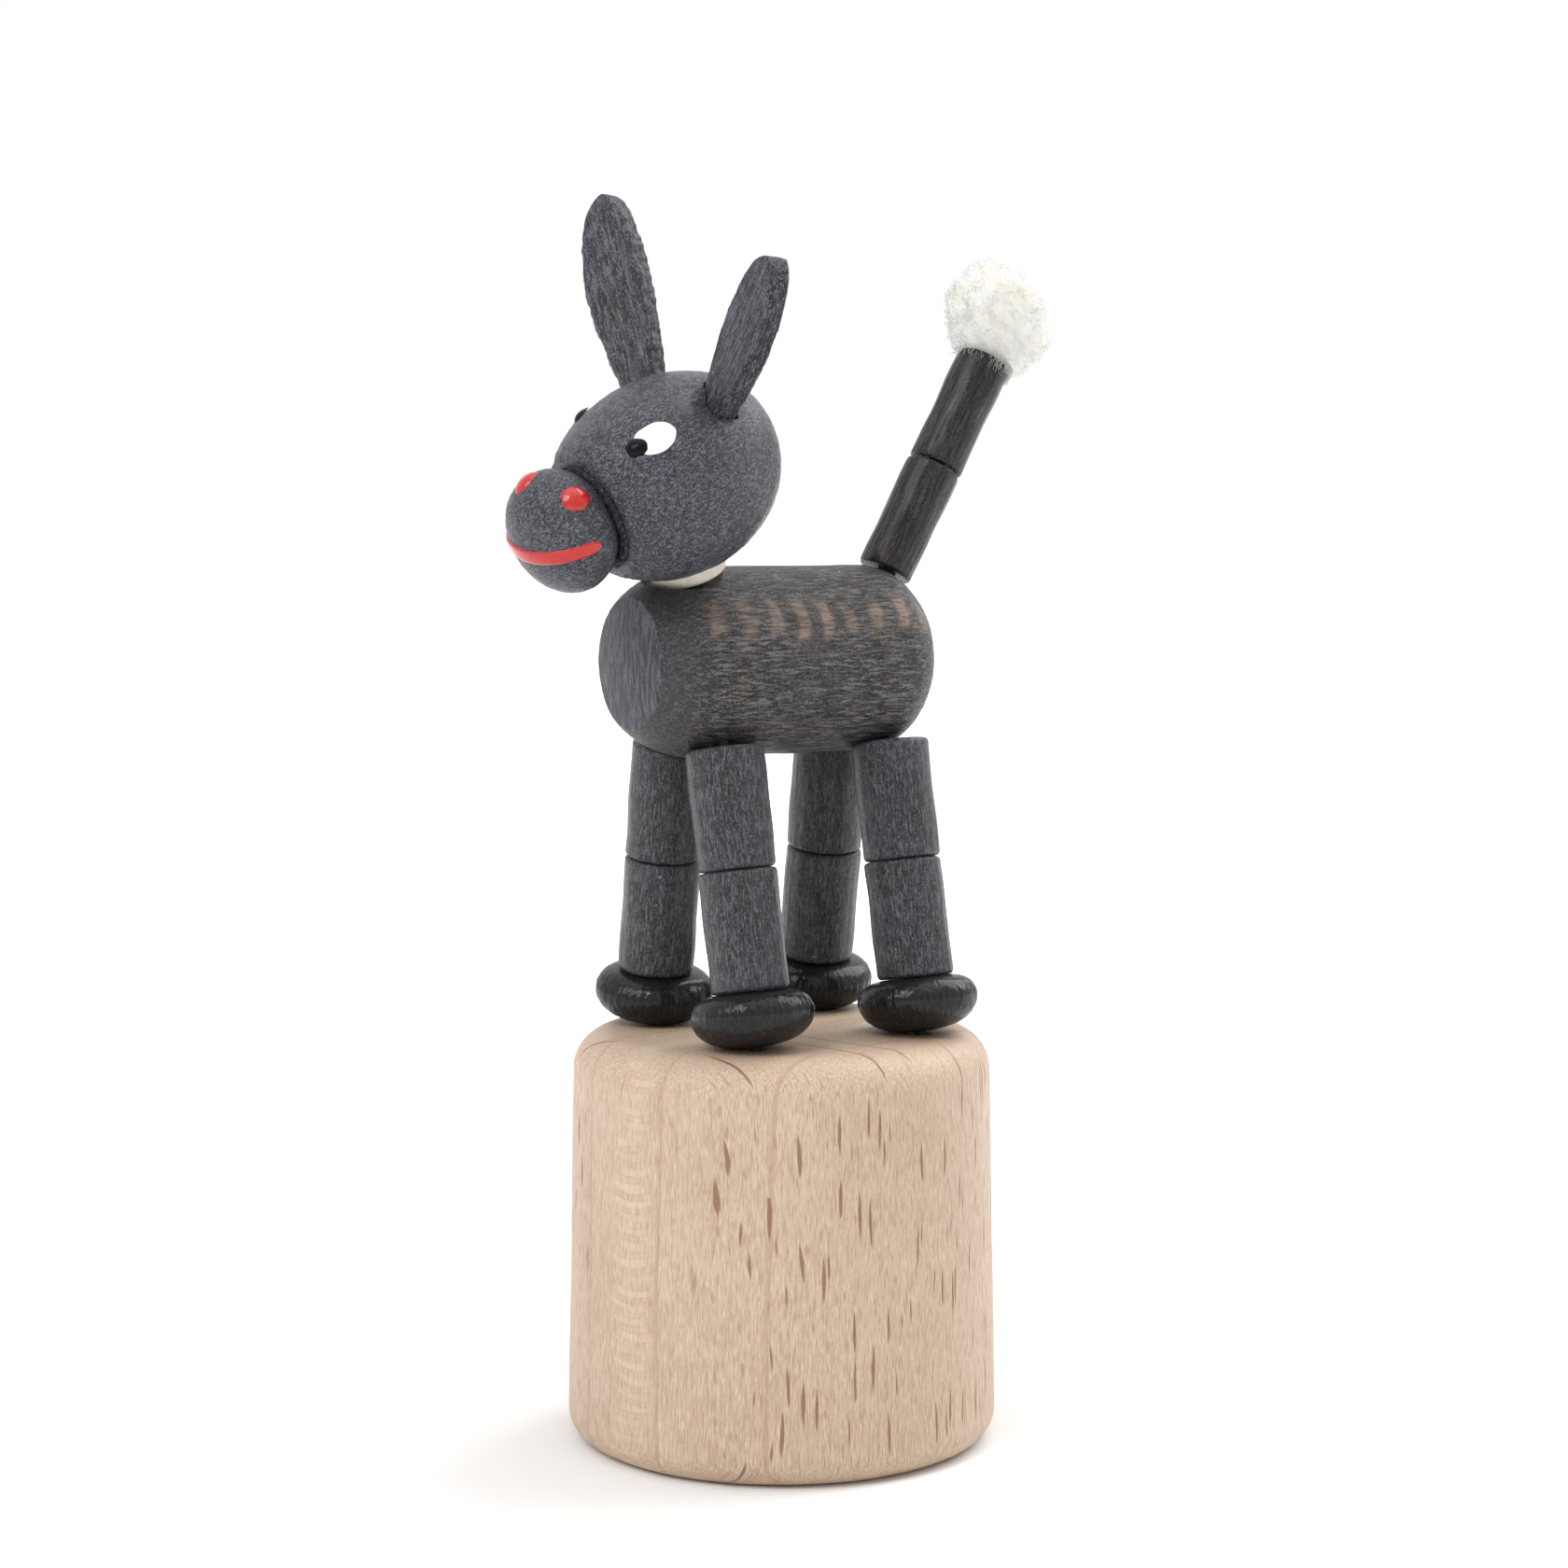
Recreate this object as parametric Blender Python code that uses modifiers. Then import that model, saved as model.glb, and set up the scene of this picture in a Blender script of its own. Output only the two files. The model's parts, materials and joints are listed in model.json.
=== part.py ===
"""Thumb push puppet: a wooden donkey strung on four cords over a spring button in a drum base."""
import bmesh
import bpy
import math
from mathutils import Matrix, Vector

for old in list(bpy.data.objects):
    bpy.data.objects.remove(old, do_unlink=True)

MM = 0.001

# Driving sizes in millimetres
DRUM_HEIGHT = 31.45
DRUM_FOOT_RADIUS = 16.5
DRUM_TOP_RADIUS = 16.0
DRUM_TOP_ROUND = 3.0
DRUM_FOOT_ROUND = 2.2
BORE_RADIUS = 13.0
BORE_EDGE = 0.3
ROOF = 6.4
BUTTON_RADIUS = 12.7
BUTTON_FOOT = 0.8
BUTTON_HEIGHT = 6.2
BUTTON_EDGE = 0.5
BUTTON_ROUND = 1.2
SPRING_RADIUS = 6.2
WIRE = 0.9
SPRING_TURNS = 6
CORD_RADIUS = 0.42
CORD_BORE = 0.9
KNOT_RADIUS = 1.15
KNOT_LIFT = 1.5
KNOT_POCKET = 3.0
GAP = 0.3
FOOT_X = 7.9
FOOT_FRONT = -6.97
FOOT_REAR = 7.6
FOOT_LIFT = 0.47
LEG_IN = 3.7
LEG_FORWARD = 0.45
LEG_RISE = 21.0
HOOF_HEIGHT = 3.8
HOOF_RADIUS = 4.6
HOOF_FLAT = 1.3
LEG_RADIUS = 2.93
LEG_ROUND = 0.35
LOWER_LENGTH = 8.6
UPPER_LENGTH = 8.45
TORSO_RADIUS = 7.15
TORSO_FRONT = -13.6
TORSO_REAR = 11.4
HIP_GAP = 0.165
FRONT_FACE = 4.9
FRONT_DOME = 0.45
FRONT_SHOULDER = 6.0
FRONT_EDGE = 55.0
REAR_ROUND = 4.6
REAR_FACE = 2.25
NECK_ASIDE = 0.75
NECK_ALONG = -8.5
NECK_SINK = 0.57
NECK_PITCH = 24.0
NECK_ROLL = 8.0
NECK_TURN = 8.0
RING_RADIUS = 2.9
RING_HEIGHT = 2.6
HEAD_CENTRE = 7.8
HEAD_BACK = 0.4
HEAD_LONG = 9.12
HEAD_RADIUS = 7.15
HEAD_CUT = 7.2
MUZZLE_LONG = 3.6
MUZZLE_RADIUS = 4.65
MUZZLE_FORWARD = 9.85
EAR_LENGTH = 16.0
EAR_WIDTH = 5.9
EAR_THICK = 1.6
EAR_EDGE = 0.25
EAR_OUT = 4.1
EAR_BACK = 2.9
EAR_UP = 4.3
EAR_SLACK = 0.2
SLOT_REACH = 6.0
HEAD_BORE = 3.6
TAIL_ALONG = 9.4
TAIL_SINK = 0.32
TAIL_LEAN = 29.5
TAIL_RADIUS = 2.15
TAIL_LENGTH = 8.9
TAIL_BORE = 1.2
POMPOM_RADIUS = 4.5
POMPOM_HALF = 3.35
POMPOM_LUMP = 0.035
POMPOM_DEPTH = 2.6

parts = bpy.data.collections.new("thumb_push_puppet")
bpy.context.scene.collection.children.link(parts)
cutters = bpy.data.collections.new("cutters")
bpy.context.scene.collection.children.link(cutters)


# Materials
def material(name, colour, roughness):
    made = bpy.data.materials.new(name)
    made.use_nodes = True
    shader = made.node_tree.nodes["Principled BSDF"]
    shader.inputs["Base Color"].default_value = (*colour, 1.0)
    shader.inputs["Roughness"].default_value = roughness
    made.diffuse_color = (*colour, 1.0)
    return made


BEECH = material("natural_beech", (0.72, 0.52, 0.36), 0.55)
DARK = material("charcoal_stained_wood", (0.06, 0.062, 0.07), 0.65)
HOOF = material("hoof_stained_wood", (0.045, 0.046, 0.052), 0.5)
CREAM = material("cream_wood", (0.85, 0.77, 0.64), 0.5)
YARN = material("pompom_yarn", (0.86, 0.84, 0.79), 0.9)
CORD = material("black_cord", (0.03, 0.03, 0.032), 0.8)
STEEL = material("spring_steel", (0.55, 0.56, 0.58), 0.35)


# Building helpers
def add(name, data, look, home=None):
    made = bpy.data.objects.new(name, data)
    (home or parts).objects.link(made)
    if look:
        data.materials.append(look)
    return made


def mesh_of(name, points, edges, faces):
    data = bpy.data.meshes.new(name)
    data.from_pydata([Vector(p) * MM for p in points], edges, faces)
    return data


def turned(name, profile, steps, look, closed=False, home=None):
    points = [(r, 0.0, z) for r, z in profile]
    edges = [(i, i + 1) for i in range(len(points) - 1)]
    if closed:
        edges.append((len(points) - 1, 0))
    made = add(name, mesh_of(name, points, edges, []), look, home)
    screw = made.modifiers.new("turn", "SCREW")
    screw.axis = "Z"
    screw.steps = steps
    screw.render_steps = steps
    screw.use_merge_vertices = True
    screw.merge_threshold = 0.00001
    screw.use_smooth_shade = False
    return made


def arc(r, z, size_r, size_z, start, stop, count):
    turns = [math.radians(start + (stop - start) * i / count) for i in range(count + 1)]
    return [(r + size_r * math.cos(a), z + size_z * math.sin(a)) for a in turns]


def bead(name, radius, low, high, bore, rounding, steps, look):
    core = radius - rounding
    profile = arc(core, high - rounding, rounding, rounding, 90, 0, 2)
    profile += arc(core, low + rounding, rounding, rounding, 0, -90, 2)
    profile += [(bore, low), (bore, high)]
    return turned(name, profile, steps, look, closed=True)


def empty(name, place, turn=None):
    made = bpy.data.objects.new(name, None)
    made.empty_display_size = 2 * MM
    parts.objects.link(made)
    made.location = Vector(place) * MM
    if turn is not None:
        made.rotation_euler = turn.to_euler()
    return made


def hang(made, hinge, place, turn):
    made.parent = hinge
    inverse = hinge.rotation_euler.to_matrix().inverted()
    made.location = inverse @ (Vector(place) * MM - hinge.location)
    made.rotation_euler = (inverse @ turn).to_euler()
    return made


def cut(target, cutter):
    cutter.hide_render = True
    cutter.display_type = "WIRE"
    made = target.modifiers.new("cut_" + cutter.name, "BOOLEAN")
    made.operation = "DIFFERENCE"
    made.solver = "EXACT"
    made.object = cutter


def rods(name, ends, steps=16):
    shape = bmesh.new()
    for start, stop, radius in ends:
        start = Vector(start) * MM
        stop = Vector(stop) * MM
        along = stop - start
        turn = along.to_track_quat("Z", "X").to_matrix().to_4x4()
        place = Matrix.Translation((start + stop) / 2) @ turn
        bmesh.ops.create_cone(shape, cap_ends=True, segments=steps, radius1=radius * MM,
                              radius2=radius * MM, depth=along.length, matrix=place)
    data = bpy.data.meshes.new(name)
    shape.to_mesh(data)
    shape.free()
    return add(name, data, None, cutters)


def tube(name, points, radii, look, sides):
    data = bpy.data.curves.new(name, "CURVE")
    data.dimensions = "3D"
    data.bevel_depth = MM
    data.bevel_resolution = sides
    data.use_fill_caps = True
    data.twist_mode = "MINIMUM"
    line = data.splines.new("POLY")
    line.points.add(len(points) - 1)
    for spot, place, radius in zip(line.points, points, radii):
        spot.co = (*(Vector(place) * MM), 1.0)
        spot.radius = radius
    return add(name, data, look)


# Leg layout: four legs that differ only by side and by their place along the drum
CORNERS = (("front_left", 1, FOOT_FRONT), ("front_right", -1, FOOT_FRONT),
           ("rear_left", 1, FOOT_REAR), ("rear_right", -1, FOOT_REAR))
LOWER_START = HOOF_HEIGHT + GAP
LOWER_STOP = LOWER_START + LOWER_LENGTH
UPPER_START = LOWER_STOP + GAP
UPPER_STOP = UPPER_START + UPPER_LENGTH


def leg_frame(side, along):
    foot = Vector((side * FOOT_X, along, DRUM_HEIGHT + FOOT_LIFT))
    up = Vector((-side * LEG_IN, -LEG_FORWARD, LEG_RISE)).normalized()
    across = Vector((0, 1, 0)).cross(up).normalized()
    turn = Matrix((across, up.cross(across), up)).transposed()
    return foot, turn


LEGS = {name: leg_frame(side, along) for name, side, along in CORNERS}


def on_leg(name, point):
    foot, turn = LEGS[name]
    return foot + turn @ Vector(point)


RIM = LEG_RADIUS - LEG_ROUND
FOOT_HINGE = (0, -HOOF_FLAT, 0)
ANKLE_HINGE = (0, -RIM, LOWER_START + LEG_ROUND)
KNEE_HINGE = (0, -RIM, UPPER_START + LEG_ROUND)
HIP_HINGE = (0, RIM, UPPER_STOP - LEG_ROUND)
CARRIER = "rear_left"



# Torso height: as low as the tops of the upper legs let it lie
def torso_rest(name):
    heights = []
    for reach, rise in ((RIM, UPPER_STOP), (LEG_RADIUS, UPPER_STOP - LEG_ROUND)):
        for step in range(-6, 7):
            point = on_leg(name, (reach * step / 6, 0, rise))
            room = (TORSO_RADIUS + HIP_GAP) ** 2 - point.x ** 2
            if room > 0:
                heights.append(point.z + math.sqrt(room))
    return max(heights)


TORSO_AXIS = torso_rest(CARRIER)
BACK = TORSO_AXIS + TORSO_RADIUS
NECK_SEAT = (NECK_ASIDE, NECK_ALONG, BACK - NECK_SINK)
TAIL_SEAT = (0.0, TAIL_ALONG, BACK - TAIL_SINK)

# Neck frame: x to the donkey's left, y to its back, z up the neck
NECK_TURNED = (Matrix.Rotation(math.radians(NECK_TURN), 3, "Z")
               @ Matrix.Rotation(math.radians(NECK_ROLL), 3, "Y")
               @ Matrix.Rotation(math.radians(NECK_PITCH), 3, "X"))
TAIL_TURNED = Matrix.Rotation(math.radians(-TAIL_LEAN), 3, "X")


def on_neck(point):
    return Vector(NECK_SEAT) + NECK_TURNED @ Vector(point)


def on_tail(point):
    return Vector(TAIL_SEAT) + TAIL_TURNED @ Vector(point)


# Drum base, bored from below
ceiling = DRUM_HEIGHT - ROOF
drum_profile = [(0, DRUM_HEIGHT)]
drum_profile += arc(DRUM_TOP_RADIUS - DRUM_TOP_ROUND, DRUM_HEIGHT - DRUM_TOP_ROUND,
                    DRUM_TOP_ROUND, DRUM_TOP_ROUND, 90, 0, 5)
drum_profile += arc(DRUM_FOOT_RADIUS - DRUM_FOOT_ROUND, DRUM_FOOT_ROUND,
                    DRUM_FOOT_ROUND, DRUM_FOOT_ROUND, 0, -90, 4)
drum_profile += [(BORE_RADIUS + BORE_EDGE, 0), (BORE_RADIUS, BORE_EDGE), (BORE_RADIUS, ceiling), (0, ceiling)]
drum = turned("base_drum", drum_profile, 56, BEECH)
drum_holes = []
for name, side, along in CORNERS:
    foot = LEGS[name][0]
    drum_holes.append(((foot.x, foot.y, ceiling - 1), (foot.x, foot.y, DRUM_HEIGHT + 1), CORD_BORE))
cut(drum, rods("drum_cord_holes", drum_holes))

# Push button with knot pockets underneath
button_top = BUTTON_FOOT + BUTTON_HEIGHT
button_profile = [(0, button_top), (BUTTON_RADIUS - BUTTON_EDGE, button_top)]
button_profile += [(BUTTON_RADIUS, button_top - BUTTON_EDGE)]
button_profile += arc(BUTTON_RADIUS - BUTTON_ROUND, BUTTON_FOOT + BUTTON_ROUND,
                      BUTTON_ROUND, BUTTON_ROUND, 0, -90, 3)
button_profile += [(0, BUTTON_FOOT)]
button = turned("push_button", button_profile, 40, BEECH)
knot_reach = 0.76
knot_rise = BUTTON_FOOT + KNOT_LIFT
pocket_top = BUTTON_FOOT + KNOT_POCKET
knots = {name: (foot.x * knot_reach, foot.y * knot_reach) for name, (foot, turn) in LEGS.items()}
cut(button, rods("button_cord_holes", [((x, y, BUTTON_FOOT - 1), (x, y, button_top + 1), CORD_BORE)
                                       for x, y in knots.values()]))
cut(button, rods("button_knot_pockets", [((x, y, BUTTON_FOOT - 1), (x, y, pocket_top), KNOT_RADIUS + 0.5)
                                         for x, y in knots.values()]))

# Return spring, one unbroken coil with closed end turns
coil_low = button_top + GAP + WIRE / 2
coil_high = ceiling - GAP - WIRE / 2
PER_TURN = 10
end_pitch = WIRE + 0.6
mid_pitch = (coil_high - coil_low - 2 * end_pitch) / (SPRING_TURNS - 2)
coil = []
for step in range(SPRING_TURNS * PER_TURN + 1):
    turns = step / PER_TURN
    first = min(turns, 1.0) * end_pitch
    last = max(turns - (SPRING_TURNS - 1), 0.0) * end_pitch
    middle = min(max(turns - 1.0, 0.0), SPRING_TURNS - 2) * mid_pitch
    angle = 2 * math.pi * turns
    rise = coil_low + first + middle + last
    coil.append((SPRING_RADIUS * math.cos(angle), SPRING_RADIUS * math.sin(angle), rise))
tube("return_spring", coil, [WIRE / 2] * len(coil), STEEL, 1)
least = min((Vector(a) - Vector(b)).length for i, a in enumerate(coil) for b in coil[i + PER_TURN // 2:])
print("return_spring least gap to itself, mm:", round(least - WIRE, 2))

# Hooves and leg beads, each hung from an empty on its own hinge
hoof_profile = [(CORD_BORE, HOOF_HEIGHT), (HOOF_RADIUS * 0.56, HOOF_HEIGHT)]
hoof_profile += [(HOOF_RADIUS * 0.80, HOOF_HEIGHT * 0.86), (HOOF_RADIUS * 0.96, HOOF_HEIGHT * 0.69)]
hoof_profile += [(HOOF_RADIUS, HOOF_HEIGHT * 0.52), (HOOF_RADIUS * 0.95, HOOF_HEIGHT * 0.36)]
hoof_profile += [(HOOF_RADIUS * 0.80, HOOF_HEIGHT * 0.22), (HOOF_FLAT, 0), (CORD_BORE, 0)]
for name, (foot, turn) in LEGS.items():
    carries = name == CARRIER
    places = (FOOT_HINGE, ANKLE_HINGE, KNEE_HINGE) if carries else (ANKLE_HINGE, KNEE_HINGE, HIP_HINGE)
    hoof = turned("hoof_" + name, hoof_profile, 28, HOOF, closed=True)
    lower = bead("lower_leg_" + name, LEG_RADIUS, LOWER_START, LOWER_STOP, CORD_BORE, LEG_ROUND, 24, DARK)
    upper = bead("upper_leg_" + name, LEG_RADIUS, UPPER_START, UPPER_STOP, CORD_BORE, LEG_ROUND, 24, DARK)
    for made, hinge in zip((hoof, lower, upper), places):
        pivot = empty("hinge_" + made.name, on_leg(name, hinge))
        hang(made, pivot, foot, turn)

# Torso, turned along the donkey's length, with seats and cord bores
edge_turn = math.radians(FRONT_EDGE)
shoulder_in = (TORSO_RADIUS - FRONT_FACE) / (1 - math.cos(edge_turn))
shoulder_along = (FRONT_SHOULDER - FRONT_DOME) / math.sin(edge_turn)
rear_in = TORSO_RADIUS - REAR_FACE
torso_profile = [(0, -TORSO_FRONT), (FRONT_FACE / 2, -TORSO_FRONT - FRONT_DOME / 4)]
torso_profile += arc(TORSO_RADIUS - shoulder_in, -TORSO_FRONT - FRONT_SHOULDER, shoulder_in, shoulder_along,
                     FRONT_EDGE, 0, 6)
torso_profile += arc(TORSO_RADIUS - rear_in, -TORSO_REAR + REAR_ROUND, rear_in, REAR_ROUND, 0, -90, 6)
torso_profile += [(0, -TORSO_REAR)]
torso = turned("torso", torso_profile, 40, DARK)
torso_hinge = empty("hinge_torso", on_leg(CARRIER, HIP_HINGE))
hang(torso, torso_hinge, (0, 0, TORSO_AXIS), Matrix.Rotation(math.pi / 2, 3, "X"))
SEAT_RADIUS = RING_RADIUS + 0.7
cut(torso, rods("neck_seat", [(on_neck((0, 0, -GAP)), on_neck((0, 0, TORSO_RADIUS)), SEAT_RADIUS)], 28))
PAIR = CORD_RADIUS + 0.18
exits = {"front_left": on_neck((PAIR, 0, 0)), "front_right": on_neck((-PAIR, 0, 0)),
         "rear_left": on_tail((PAIR, 0, 0)), "rear_right": on_tail((-PAIR, 0, 0))}
entries = {name: on_leg(name, (0, 0, UPPER_STOP)) for name in LEGS}
for side in ("left", "right"):
    bores = []
    for end in ("front", "rear"):
        entry = entries[end + "_" + side]
        leave = exits[end + "_" + side]
        along = (leave - entry).normalized()
        bores.append((entry - 2 * along, leave + 1.5 * along, CORD_BORE + 0.05))
    cut(torso, rods("torso_bores_" + side, bores))

# Neck ring, head, muzzle and ears in the neck frame
loll_hinge = empty("hinge_neck_ring", on_neck((RING_RADIUS - 0.3, 0, 0.3)), NECK_TURNED)
RING_BORE = 1.3
ring = bead("neck_ring", RING_RADIUS, 0, RING_HEIGHT, RING_BORE, 0.3, 32, CREAM)
hang(ring, loll_hinge, NECK_SEAT, NECK_TURNED)

turn_hinge = empty("hinge_head", NECK_SEAT, NECK_TURNED)
LYING = NECK_TURNED @ Matrix.Rotation(math.pi / 2, 3, "X")
head_middle = on_neck((0, HEAD_BACK, HEAD_CENTRE))
cut_angle = math.degrees(math.asin(HEAD_CUT / HEAD_LONG))
head_profile = [(0, HEAD_CUT)] + arc(0, 0, HEAD_RADIUS, HEAD_LONG, cut_angle, -90, 17)
head_profile[-1] = (0, -HEAD_LONG)
head = turned("head", head_profile, 36, DARK)
hang(head, turn_hinge, head_middle, LYING)
SOCKET = RING_HEIGHT + GAP
cut(head, rods("head_socket", [(on_neck((0, 0, -HEAD_CUT)), on_neck((0, 0, SOCKET)), RING_RADIUS + 0.2)], 32))
cut(head, rods("head_bore", [(on_neck((0, 0, 0)), on_neck((0, 0, SOCKET + HEAD_BORE)), RING_BORE + 0.1)]))

muzzle_cut = HEAD_CUT + 0.15 - MUZZLE_FORWARD
back_angle = math.degrees(math.asin(muzzle_cut / MUZZLE_LONG))
muzzle_profile = arc(0, 0, MUZZLE_RADIUS, MUZZLE_LONG, 90, back_angle, 11) + [(0, muzzle_cut)]
muzzle_profile[0] = (0, MUZZLE_LONG)
muzzle = turned("muzzle", muzzle_profile, 32, DARK)
hang(muzzle, turn_hinge, on_neck((0, HEAD_BACK - MUZZLE_FORWARD, HEAD_CENTRE)), LYING)

EAR_SHAPE = ((0.0, 0.36), (0.04, 0.57), (0.12, 0.66), (0.26, 0.79), (0.42, 0.95), (0.56, 1.0), (0.70, 0.93),
             (0.82, 0.73), (0.92, 0.46), (0.98, 0.22))
EARS = (("ear_left", 1, (17, 31.5, -25), 0.85), ("ear_right", -1, (20.5, -34.5, 24), 1.06))
ear_slots = bmesh.new()
for name, side, angles, reach in EARS:
    outline = [(EAR_WIDTH / 2 * w, 0, EAR_LENGTH * reach * t) for t, w in EAR_SHAPE]
    outline += [(-x, y, z) for x, y, z in reversed(outline)]
    ear = add(name, mesh_of(name, outline, [], [list(range(len(outline)))]), DARK)
    thick = ear.modifiers.new("lath", "SOLIDIFY")
    thick.thickness = EAR_THICK * MM
    thick.offset = 0.0
    soften = ear.modifiers.new("broken_edges", "BEVEL")
    soften.width = EAR_EDGE * MM
    soften.segments = 1
    soften.limit_method = "ANGLE"
    lean, splay, face = (math.radians(a) for a in angles)
    turn = (Matrix.Rotation(splay, 3, "Y") @ Matrix.Rotation(-lean, 3, "X")
            @ Matrix.Rotation(face, 3, "Z"))
    place = Vector((side * EAR_OUT, HEAD_BACK + EAR_BACK, HEAD_CENTRE + EAR_UP))
    hang(ear, turn_hinge, on_neck(place), NECK_TURNED @ turn)
    width = EAR_WIDTH * 0.80 + 2 * EAR_SLACK
    box = Matrix.Diagonal((width * MM, (EAR_THICK + 2 * EAR_SLACK) * MM, SLOT_REACH * MM, 1.0))
    lift = Vector((0, 0, SLOT_REACH / 2 - EAR_SLACK))
    spot = on_neck(place + turn @ lift) * MM
    bmesh.ops.create_cube(ear_slots, size=1.0,
                          matrix=Matrix.Translation(spot) @ (NECK_TURNED @ turn).to_4x4() @ box)
slot_data = bpy.data.meshes.new("ear_slots")
ear_slots.to_mesh(slot_data)
ear_slots.free()
cut(head, add("ear_slots", slot_data, None, cutters))

# Tail beads and pom-pom
tail_rim = TAIL_RADIUS - LEG_ROUND
tail_joint = TAIL_LENGTH + GAP
tail_stop = tail_joint + TAIL_LENGTH
for name, low, high in (("tail_lower", 0, TAIL_LENGTH), ("tail_upper", tail_joint, tail_stop)):
    made = bead(name, TAIL_RADIUS, low, high, TAIL_BORE, LEG_ROUND, 24, DARK)
    pivot = empty("hinge_" + name, on_tail((0, tail_rim, low + LEG_ROUND)))
    hang(made, pivot, TAIL_SEAT, TAIL_TURNED)

pompom_data = bpy.data.meshes.new("pompom")
ball = bmesh.new()
bmesh.ops.create_icosphere(ball, subdivisions=3, radius=1.0)
for corner in ball.verts:
    x, y, z = corner.co
    lump = math.sin(5 * x + 1.0) * math.sin(4 * y + 2.0) + math.sin(6 * z + 3 * x) * math.cos(5 * y)
    swell = (1 + POMPOM_LUMP * lump) * MM
    corner.co = Vector((POMPOM_RADIUS * x, POMPOM_RADIUS * y, POMPOM_HALF * z)) * swell
ball.to_mesh(pompom_data)
ball.free()
pompom = add("pompom", pompom_data, YARN)
POMPOM_RISE = tail_stop + GAP + POMPOM_HALF * 1.06
hang(pompom, pivot, on_tail((0, 0, POMPOM_RISE)), TAIL_TURNED)
cut(pompom, rods("pompom_bore", [(on_tail((0, 0, tail_stop)), on_tail((0, 0, tail_stop + GAP + POMPOM_DEPTH)),
                                  TAIL_BORE + 0.2)]))

# Cords: knot under the button, drum, leg, torso, then neck or tail
for name, (foot, turn) in LEGS.items():
    x, y = knots[name]
    across = PAIR if name.endswith("left") else -PAIR
    path = [(x, y, knot_rise - KNOT_RADIUS), (x, y, knot_rise - KNOT_RADIUS * 0.6), (x, y, knot_rise)]
    path += [(x, y, knot_rise + KNOT_RADIUS * 0.6), (x, y, knot_rise + KNOT_RADIUS), (x, y, button_top)]
    radii = [KNOT_RADIUS * 0.45, KNOT_RADIUS * 0.85, KNOT_RADIUS, KNOT_RADIUS * 0.85]
    path += [(foot.x, foot.y, ceiling), (foot.x, foot.y, DRUM_HEIGHT), foot, entries[name]]
    if name.startswith("front"):
        path += [on_neck((across, 0, -0.2)), on_neck((across, 0, SOCKET + HEAD_BORE - 0.6))]
    else:
        path += [on_tail((across, 0, -0.2)), on_tail((across, 0, tail_stop + GAP + POMPOM_DEPTH - 0.5))]
    radii += [CORD_RADIUS] * (len(path) - len(radii))
    tube("cord_" + name, path, radii, CORD, 2)
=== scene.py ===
"""Looks of a wooden thumb push puppet: a charcoal-stained donkey strung over a natural beech drum."""
import bmesh
import bpy
import json
import math
import random
import numpy as np
from collections import namedtuple
from mathutils import Matrix, Vector, noise


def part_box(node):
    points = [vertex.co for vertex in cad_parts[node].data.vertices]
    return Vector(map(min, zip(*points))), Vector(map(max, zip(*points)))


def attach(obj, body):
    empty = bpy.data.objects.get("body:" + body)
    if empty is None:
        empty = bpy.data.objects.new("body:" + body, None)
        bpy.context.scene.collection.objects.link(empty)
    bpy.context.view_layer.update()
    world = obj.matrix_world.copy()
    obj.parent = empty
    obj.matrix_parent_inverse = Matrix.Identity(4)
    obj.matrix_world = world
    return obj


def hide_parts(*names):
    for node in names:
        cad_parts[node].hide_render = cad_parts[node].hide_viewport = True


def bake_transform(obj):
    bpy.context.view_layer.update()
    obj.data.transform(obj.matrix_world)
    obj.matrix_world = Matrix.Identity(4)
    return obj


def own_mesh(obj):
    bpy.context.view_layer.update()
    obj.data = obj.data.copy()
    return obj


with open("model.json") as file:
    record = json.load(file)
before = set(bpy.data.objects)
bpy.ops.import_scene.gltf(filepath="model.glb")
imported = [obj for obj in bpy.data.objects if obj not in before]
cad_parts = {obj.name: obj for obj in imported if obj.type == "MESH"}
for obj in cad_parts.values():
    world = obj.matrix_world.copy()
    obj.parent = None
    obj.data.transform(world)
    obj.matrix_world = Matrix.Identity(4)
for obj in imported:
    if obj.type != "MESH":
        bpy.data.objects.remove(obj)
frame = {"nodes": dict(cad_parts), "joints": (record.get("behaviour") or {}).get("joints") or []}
nodes = frame["nodes"]
joints = {joint["name"]: joint for joint in frame["joints"]}
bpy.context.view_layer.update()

MM = 0.001
LEGS = ("front_left", "front_right", "rear_left", "rear_right")

# Camera of the photograph, in metres, radians and pixels of its square picture
PICTURE = 1680
CAMERA_TURN = math.radians(59)
CAMERA_AWAY = 0.240
CAMERA_HIGH = 0.0706
CAMERA_ASIDE = -0.00018
CAMERA_DOWN = 0.0847
FOCAL_PIXELS = 3376.9
SENSOR = 36.0

# Sizes in millimetres that the frame does not give by itself
DRUM_TAPER = 0.5
DRUM_TOP_ROUND = 3.0
DRUM_FOOT_ROUND = 2.2
DRUM_BORE = 13.0
DRUM_ROOF = 6.4
FACE_RADIUS = 4.9
FACE_DOME = 0.45
SHOULDER = 6.0
SHOULDER_EDGE = 55.0
RUMP = 4.6
RUMP_FLAT = 2.25
NECK_SEAT = 3.6
HEAD_SEAT = 3.1
HEAD_CUT = 7.2
MUZZLE_LONG = 3.6
MUZZLE_FORWARD = 9.85
RING_HEIGHT = 2.6
CORD_RADIUS = 0.42
CORD_STEP = 0.15
WIRE_RADIUS = 0.45
BORE = 0.9
PAIR = 0.6
PRESS = joints["button_press"]["range_m"][1]


# Shader writing

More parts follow.
